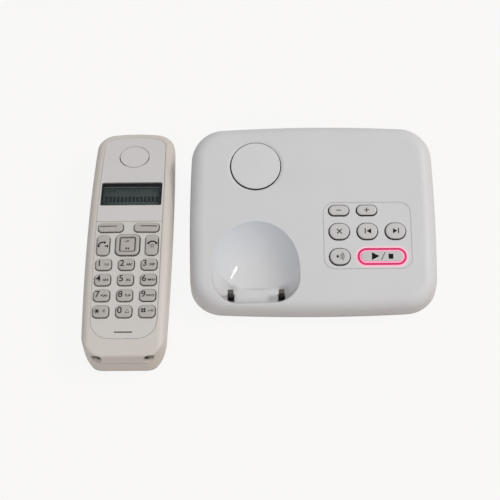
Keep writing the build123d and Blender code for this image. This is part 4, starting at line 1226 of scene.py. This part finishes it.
    def display_signs(self) -> list[Outline]:
        """The row of small signs over the characters, and the pointers under them.

        Returns:
            The outlines.
        """
        row = self.sign_row_y
        signs = [
            Mark.arc(0.7, 0.25, 0, 180, -12.6, row - 0.3),
            Mark.bar(0.25, 1.2, -12.6, row - 0.2),
            Mark.wedge(1.3, 1.5, -9.6, row),
            Mark.bar(1.2, 0.3, -7.0, row, 35),
            *Mark.receiver(1.6, -4.4, row),
            Mark.bar(1.7, 0.25, -1.6, row + 0.45),
            Mark.bar(1.7, 0.25, -1.6, row - 0.45),
            Mark.arc(0.6, 0.25, 20, 340, 1.2, row),
            Mark.wedge(1.1, 1.4, 4.0, row),
            Mark.bar(1.3, 0.3, 6.6, row),
            Mark.bar(0.3, 1.3, 9.0, row),
        ]
        signs += [Mark.bar(0.55, 0.9, 11.6 + 0.75 * i, row) for i in range(4)]
        signs += [Mark.wedge(1.0, 0.9, x, self.pointer_row_y) for x in (-12.0, 0.0, 11.0, 13.0)]
        return signs

    def build_earpiece_felt(self) -> None:
        """The black felt that shows in the earpiece's two sound slots."""
        speaker = frame["nodes"]["earpiece_speaker"].data
        upward_faces = (face for face in speaker.polygons if face.normal.z > 0.9)
        out = max(upward_faces, key=lambda face: face.area).normal.copy()
        points = node_points("earpiece_speaker")
        level = max(point.dot(out) for point in points)
        rim = [point for point in points if point.dot(out) > level - self.sounder_slice * MM]
        origin = out * level
        for axis in (RIGHT, out.cross(RIGHT)):
            reach = [point.dot(axis) for point in rim]
            origin += axis * (min(reach) + max(reach)) / 2
        seat = Seat(origin, RIGHT, out)
        arcs = [
            Mark.arc(self.earpiece_radius, self.felt_width, start, start + self.felt_turn)
            for start in self.felt_starts
        ]
        felt = Shape.plate("earpiece_felt", arcs, self.felt_thickness)
        add_piece(felt, Finishes.FELT, self.body, seat.shifted(z=self.felt_rise))

    def cap(self, node: str, corner: float, **shape: Any) -> KeyCap:
        """One handset key's cap, built and ready for printing.

        Args:
            node: the key's CAD node.
            corner: radius of the cap's corners, in mm.
            **shape: what else sets the cap's shape.

        Returns:
            The cap.
        """
        # the navigation key rocks and has no press joint, so it takes the axis of the key beside it
        out = press_axis("talk_key" if node == "nav_key" else node)
        made = KeyCap(
            node, Finishes.HANDSET_KEY_ABS, Finishes.HANDSET_KEY_WALL_SHADE, "handset_keys", corner, out,
            slack=self.key_slack, drift=self.key_drift, **shape,
        )
        made.build()
        return made

    def build_number_keys(self) -> None:
        """The twelve number keys with their print."""
        for digit in "1234567890":
            key = self.cap(f"key_{digit}", self.number_corner, lead=self.number_lead)
            key.letter(
                "digit", digit, self.digit_size, self.digit_weight, Finishes.BLACK_INK, *self.digit_place,
            )
            if digit in self.letters:
                word = self.letters[digit]
                x, y = self.letter_place
                size, x = (self.letter_size, x) if len(word) < 4 else self.long_word
                key.letter("letters", word, size, self.letter_weight, Finishes.GREY_INK, x, y)
            elif digit == "1":
                reels = [Mark.arc(0.45, 0.22, 0, 340, x, 0.15) for x in (-0.75, 0.75)]
                key.print("mail", [*reels, Mark.bar(1.5, 0.22, y=-0.42)], Finishes.GREY_INK, 1.75, -0.3)
            else:
                sides = [Mark.bar(0.3, 0.6, x, -0.25) for x in (-0.95, 0.95)]
                tray = [Mark.bar(2.2, 0.3, y=-0.7), *sides, Mark.disc(0.28, 0, 0.75)]
                key.print("space", tray, Finishes.GREY_INK, 1.8, -0.1)
        star = self.cap("key_star", self.number_corner, lead=self.number_lead)
        strokes = [Mark.bar(2.9, 0.5, lean=lean) for lean in (0, 60, 120)]
        star.print("star", strokes, Finishes.BLACK_INK, -1.9, 0.1)
        bell = [Mark.arc(0.5, 0.28, 0, 345), Mark.bar(0.9, 0.24, y=-0.85)]
        star.print("bell", bell, Finishes.GREY_INK, 1.7, 0.4)
        crossed = self.cap("key_hash", self.number_corner, lead=self.number_lead)
        strokes = [Mark.bar(2.5, 0.5, y=y) for y in (-0.6, 0.6)]
        strokes += [Mark.bar(0.5, 2.5, x) for x in (-0.6, 0.6)]
        crossed.print("hash", strokes, Finishes.BLACK_INK, -1.9, 0.4)
        bit = Mark.bar(0.26, 0.5, -0.85, -0.35)
        lock = [Mark.arc(0.5, 0.26, 0, 345, 1.2), Mark.bar(1.7, 0.26, -0.2), bit]
        crossed.print("lock", lock, Finishes.BLACK_INK, 1.6, 0.25)

    def build_function_keys(self) -> None:
        """The softkeys, the two call keys and the navigation key, with their print."""
        for side, name in ((-1, "softkey_left"), (1, "softkey_right")):
            key = self.cap(name, self.softkey_corner, turn=-side * self.softkey_turn)
            key.print("dash", [Mark.bar(9.0, 0.5)], Finishes.BLACK_INK, side * 1.2, 0.55)
        talk = self.cap("talk_key", self.call_corner)
        talk.print("receiver", Mark.receiver(3.9, lean=36), Finishes.BLACK_INK, -0.1, 0.4)
        sounder = [Mark.bar(0.5, 0.9, -0.4), Mark.wedge(-1.4, 2.0, 0.5)]
        talk.print("sounder", sounder, Finishes.BLACK_INK, 1.5, -0.9)
        end = self.cap("end_key", self.call_corner)
        end.print("receiver", Mark.receiver(4.2), Finishes.BLACK_INK, 0.3, 0.7)
        end.print("power", [Mark.arc(0.8, 0.35, 0, 340)], Finishes.GREY_INK, 0.3, -0.9)
        nav = self.cap("nav_key", self.nav_corner, form=CapForm.FRAME)
        sunken = nav.frame_profile[-1][1]
        lines = [Mark.bar(0.75, 1.1, x) for x in (-0.6, 0.6)]
        nav.print("list", lines, Finishes.BLACK_INK, 0, -2.4, sunken)
        book = [Mark.wedge(1.6, 0.9), Mark.bar(1.4, 0.3, -1.4, -0.3)]
        nav.print("book", book, Finishes.BLACK_INK, 0.4, 2.3, sunken)

    def build_screws(self) -> None:
        """The painted shade in the cross slots of the screws in the back."""
        slot_shade = ScrewSlotShade("handset_screw_slot_shade", Finishes.BLACK_ABS, "handset_screws", self.screw_slot)
        slot_shade.build(self.body)

    def build(self) -> None:
        """Builds and dresses the whole handset."""
        self.dress_housing()
        self.build_screws()
        self.build_display()
        self.build_earpiece_felt()
        self.build_number_keys()
        self.build_function_keys()


@dataclass
class Base:
    """The charging base: housing, cradle, paging key, answering machine keys and underside."""

    body: str = "base"
    pill_corner: float = 3.0  # mm, corner radii of the caps
    round_corner: float = 4.6
    play_corner: float = 3.15
    paging_radius: float = 13.65
    key_flange: float = 0.75  # mm round the foot of a cap
    key_slack: float = 0.25  # mm that a cap is narrower on each side than its solid
    key_drift: tuple[float, float] = (0.12, 0.12)  # mm that a cap sits off the middle of its opening
    screw_slot: float = 3.4  # mm
    core_offsets: tuple[float, float, float, float] = (1.62, 1.56, 0.4, 0.34)  # mm outside the play key
    core_heights: tuple[float, float, float, float] = (-0.05, 0.04, 0.04, -0.05)  # mm over the guide
    painted_glow_reach: float = 1.6  # mm over which the painted glow fades into the housing
    painted_glow_power: float = 0.34  # emission strength of the painted glow beside the guide
    painted_glow_colour: str = "#FF4F8A"

    def dress_housing(self) -> None:
        """Gives the housing and what is in and under it their finishes."""
        dress(Finishes.BASE_ABS, "base_top_shell")
        dress(Finishes.TRAY_ABS, "base_bottom_shell")
        dress(Finishes.RUBBER, *[f"base_foot_{i}" for i in range(1, 5)])
        dress(Finishes.STEEL, "base_screws")
        dress(Finishes.PRONG_STEEL_SHADED, "charge_contact_left", "charge_contact_right")
        dress(Finishes.LIGHT_GUIDE, "play_light_ring")
        dress(Finishes.SILICONE, "base_key_mat")
        dress(Finishes.LAMINATE, "base_circuit_board")
        dress(Finishes.BLACK_ABS, "base_loudspeaker", "paging_switch", "phone_line_socket", "power_socket")

    def cap(
        self,
        node: str,
        corner: float,
        finish: Finish = Finishes.BASE_KEY_ABS,
        wall_light_and_shade: Finish = Finishes.BASE_KEY_WALL_SHADE,
        **shape: Any,
    ) -> KeyCap:
        """One base key's cap, built and ready for printing.

        Args:
            node: the key's CAD node.
            corner: radius of the cap's corners, in mm.
            finish: what its top is made of.
            wall_light_and_shade: the painted shade on its lower wall and flange, for the shade in the gap
                round it.
            **shape: what else sets the cap's shape.

        Returns:
            The cap.
        """
        made = KeyCap(
            node, finish, wall_light_and_shade, "base_keys", corner, press_axis(node),
            **{"flange": self.key_flange, "slack": self.key_slack, "drift": self.key_drift, **shape},
        )
        made.build()
        return made

    def build_keys(self) -> None:
        """The answering machine keys with their print."""
        ink = Finishes.BLACK_INK
        minus = Mark.bar(2.6, 0.45)
        plus = [minus, *(Mark.bar(0.45, 1.1, 0, y) for y in (0.78, -0.78))]
        cross = [Mark.bar(3.6, 0.55, lean=lean) for lean in (45, 135)]
        back = [Mark.wedge(-2.4, 3.0, 0.75), Mark.bar(0.5, 3.0, -1.2)]
        ahead = [Mark.wedge(2.2, 3.0, -0.4), Mark.bar(0.5, 3.0, 1.4)]
        for node, corner, name, marks, x in (
            ("key_volume_down", self.pill_corner, "minus", [minus], 0.05),
            ("key_volume_up", self.pill_corner, "plus", plus, 0.0),
            ("key_delete", self.round_corner, "cross", cross, 0.1),
            ("key_previous", self.round_corner, "previous", back, 0.1),
            ("key_next", self.round_corner, "next", ahead, 0.25),
        ):
            self.cap(node, corner).print(name, marks, ink, x)
        speaker = self.cap("key_speaker", self.round_corner)
        speaker.print("dot", [Mark.disc(0.72)], ink, -1.1)
        waves = [Mark.arc(radius, 0.32, -42, 42) for radius in (1.6, 2.4, 3.2)]
        speaker.print("waves", waves, Finishes.GREY_INK, -1.0)
        # painted light: the play key's walls take the light guide's glow, for its light in the gap round the
        # key
        play = self.cap(
            "key_play_stop", self.play_corner, wall_light_and_shade=Finishes.LIGHT_GUIDE, edge_width=0.8, slack=0.12,
        )
        signs = [Mark.wedge(4.0, 4.3, -3.5), Mark.bar(0.36, 4.7, 0.5, 0, -25), Mark.bar(2.5, 2.8, 4.6, -0.15)]
        play.print("play_stop", signs, ink)
        self.build_light_core(play)
        self.paint_guide_glow(play)

    def build_light_core(self, play: KeyCap) -> None:
        """The deep pink line in the middle of the light guide round the play key.

        Args:
            play: the cap of the play key, which gives the guide's place and size.
        """
        top = max(p.dot(play.out) for p in node_points("play_light_ring"))
        drop = (top - play.seat.origin.dot(play.out)) / MM
        core = Shape.band("play_light_core", [
            play.outline(-offset, drop + height)
            for offset, height in zip(self.core_offsets, self.core_heights)
        ])
        add_piece(core, Finishes.LIGHT_CORE, self.body, play.seat)

    def paint_guide_glow(self, play: KeyCap) -> None:
        """Paints a pink glow into the pale housing round the light guide, a painted light that fades within a
        few millimetres.

        Args:
            play: the cap of the play key, which gives the guide's place and size.
        """
        tree = Finishes.BASE_ABS.material().node_tree
        shader = find_node(tree, "ShaderNodeBsdfPrincipled")
        shader.inputs["Emission Color"].default_value = linear(self.painted_glow_colour)
        lay_flat = play.seat.matrix().inverted()
        where = add_node(tree, "ShaderNodeTexCoord").outputs["Object"]
        flat = add_node(tree, "ShaderNodeMapping", {
            "Vector": where, "Location": lay_flat.to_translation(), "Rotation": lay_flat.to_euler(),
        })
        place = add_node(tree, "ShaderNodeSeparateXYZ", {"Vector": flat.outputs["Vector"]})
        across = add_node(tree, "ShaderNodeMath", {0: place.outputs["X"]}, operation="ABSOLUTE")
        past = add_node(tree, "ShaderNodeMath", {
            0: across.outputs[0], 1: (play.width - play.height) / 2 * MM,
        }, operation="SUBTRACT", use_clamp=True)
        away = add_node(tree, "ShaderNodeCombineXYZ", {"X": past.outputs[0], "Y": place.outputs["Y"]})
        reach = add_node(tree, "ShaderNodeVectorMath", {"Vector": away.outputs["Vector"]}, operation="LENGTH")
        rim = play.height / 2 + self.core_offsets[0]
        glow = add_node(tree, "ShaderNodeMapRange", {
            "Value": reach.outputs["Value"],
            "From Min": (rim + self.painted_glow_reach) * MM,
            "From Max": rim * MM,
            "To Max": self.painted_glow_power,
        }, interpolation_type="SMOOTHSTEP")
        # painted light: the housing glows pink beside the guide
        tree.links.new(glow.outputs["Result"], shader.inputs["Emission Strength"])

    def build_screws(self) -> None:
        """The painted shade in the cross slots of the screws under the base."""
        slot_shade = ScrewSlotShade("base_screw_slot_shade", Finishes.BLACK_ABS, "base_screws", self.screw_slot)
        slot_shade.build(self.body)

    def build_paging_key(self) -> None:
        """The large round paging key."""
        self.cap("paging_key", self.paging_radius, Finishes.PAGING_ABS, edge_width=0.35, edge_height=0.2)

    def build(self) -> None:
        """Builds and dresses the whole base."""
        self.dress_housing()
        self.build_keys()
        self.build_paging_key()
        self.build_screws()


@dataclass(frozen=True)
class Lamp:
    """A rectangular lamp that faces the middle of the object."""

    name: str
    place: tuple[float, float, float]  # m
    size: tuple[float, float]  # m, width and height
    power: float  # W
    colour: str
    turn: float = 0.0  # degrees in its own plane
    mirrored: bool = False  # whether polished surfaces show it

    def hang(self) -> None:
        """Puts the lamp into the scene."""
        light = bpy.data.lights.new(self.name, "AREA")
        light.shape = "RECTANGLE"
        light.size, light.size_y = self.size
        light.energy = self.power
        light.color = linear(self.colour)[:3]
        holder = bpy.data.objects.new(self.name, light)
        holder.location = self.place
        facing = Vector(self.place).to_track_quat("Z", "Y").to_matrix()
        holder.rotation_euler = (facing @ Matrix.Rotation(math.radians(self.turn), 3, "Z")).to_euler()
        holder.visible_glossy = self.mirrored
        bpy.context.collection.objects.link(holder)


@dataclass
class Studio:
    """Floor, light and camera."""

    picture: float = 500.0  # pixels across the square picture
    focal: float = 1216.3  # pixels
    elevation: float = 55.9  # degrees
    yaw: float = 1.68  # degrees
    roll: float = -1.84  # degrees
    distance: float = 677.3  # mm
    target: tuple[float, float, float] = (-6.57, 3.8, 0.0)  # mm
    sensor: float = 36.0  # mm
    nearest: float = 0.01  # m, what the camera sees starts here
    floor_size: float = 3.0  # m
    floor_paint: str = "#BBAC9D"  # the tone that the floor throws back onto the object
    floor_white: float = 0.9  # share of plain white that the camera sees, so that the shadow stays faint
    white: str = "#FFFFFF"
    room_colour: str = "#F5F6F8"
    room_light: float = 0.43
    lamps: tuple[Lamp, ...] = (
        Lamp("window_lamp", (1.45, 0.25, 1.5), (0.9, 0.5), 15.5, "#FFFDFA"),
        Lamp("fill_lamp", (-0.2, -1.35, 1.45), (0.9, 0.9), 11.2, "#F5F7FC"),
        Lamp("strip_lamp", (1.4, 0.24, 1.45), (0.9, 0.03), 6.0, "#FFFFFF", turn=-32.0, mirrored=True),
    )

    def build_floor(self) -> None:
        """A plain pale floor that the camera sees nearly white, with the object's shadow."""
        made = bmesh.new()
        bmesh.ops.create_grid(made, x_segments=1, y_segments=1, size=self.floor_size / 2)
        floor = bpy.data.objects.new("floor", Shape.mesh("floor", made))
        material = bpy.data.materials.new("pale_floor")
        material.use_nodes = True
        tree = material.node_tree
        tree.nodes.clear()
        paint = add_node(tree, "ShaderNodeBsdfDiffuse", {"Color": linear(self.floor_paint)})
        glow = add_node(tree, "ShaderNodeEmission", {"Color": linear(self.white), "Strength": 1.0})
        share = add_node(tree, "ShaderNodeMath", {
            0: self.seen(tree), 1: self.floor_white,
        }, operation="MULTIPLY")
        mixed = add_node(tree, "ShaderNodeMixShader", {
            0: share.outputs[0], 1: paint.outputs[0], 2: glow.outputs[0],
        })
        add_node(tree, "ShaderNodeOutputMaterial", {"Surface": mixed.outputs[0]})
        floor.data.materials.append(material)
        bpy.context.collection.objects.link(floor)

    @staticmethod
    def seen(tree: bpy.types.NodeTree) -> bpy.types.NodeSocket:
        """One where the white background is looked at, also through a lens or in a reflection.

        Args:
            tree: the tree of the floor or of the world.

        Returns:
            The output that gives one or nought.
        """
        path = add_node(tree, "ShaderNodeLightPath").outputs
        mirrored = add_node(tree, "ShaderNodeMath", {
            0: path["Is Glossy Ray"], 1: path["Is Transmission Ray"],
        }, operation="MAXIMUM")
        return add_node(tree, "ShaderNodeMath", {
            0: path["Is Camera Ray"], 1: mirrored.outputs[0],
        }, operation="MAXIMUM").outputs[0]

    def build_light(self) -> None:
        """Soft light all round, a large lamp on the right, a fill in front and a strip for the polish."""
        world = bpy.data.worlds.new("studio")
        bpy.context.scene.world = world
        world.use_nodes = True
        tree = world.node_tree
        tree.nodes.clear()
        room = add_node(tree, "ShaderNodeBackground", {
            "Color": linear(self.room_colour), "Strength": self.room_light,
        })
        white = add_node(tree, "ShaderNodeBackground", {"Color": linear(self.white), "Strength": 1.0})
        mixed = add_node(tree, "ShaderNodeMixShader", {
            0: self.seen(tree), 1: room.outputs[0], 2: white.outputs[0],
        })
        add_node(tree, "ShaderNodeOutputWorld", {"Surface": mixed.outputs[0]})
        for lamp in self.lamps:
            lamp.hang()

    def build_camera(self) -> None:
        """The camera at the photograph's place and angle."""
        rise, turn, lean = (math.radians(a) for a in (self.elevation, self.yaw, self.roll))
        back = Vector((
            math.sin(turn) * math.cos(rise), -math.cos(turn) * math.cos(rise), math.sin(rise),
        ))
        right = (-back).cross(UPWARDS).normalized()
        up = back.cross(right)
        across = right * math.cos(lean) + up * math.sin(lean)
        upward = up * math.cos(lean) - right * math.sin(lean)
        lens = bpy.data.cameras.new("camera")
        lens.sensor_width = self.sensor
        lens.lens = self.focal / self.picture * self.sensor
        lens.clip_start = self.nearest
        camera = bpy.data.objects.new("camera", lens)
        place = (Vector(self.target) + back * self.distance) * MM
        camera.matrix_world = Matrix.Translation(place) @ Matrix((across, upward, back)).transposed().to_4x4()
        bpy.context.collection.objects.link(camera)
        bpy.context.scene.camera = camera

    def build(self) -> None:
        """Sets up everything that isn't the phone."""
        self.build_floor()
        self.build_light()
        self.build_camera()
        bpy.context.scene.view_settings.view_transform = "Standard"


def main() -> None:
    """Builds the phone in order."""
    logging.basicConfig(level=logging.INFO, format="%(message)s")
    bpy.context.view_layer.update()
    Studio().build()
    Base().build()
    Handset().build()


if __name__ == "__main__":
    main()
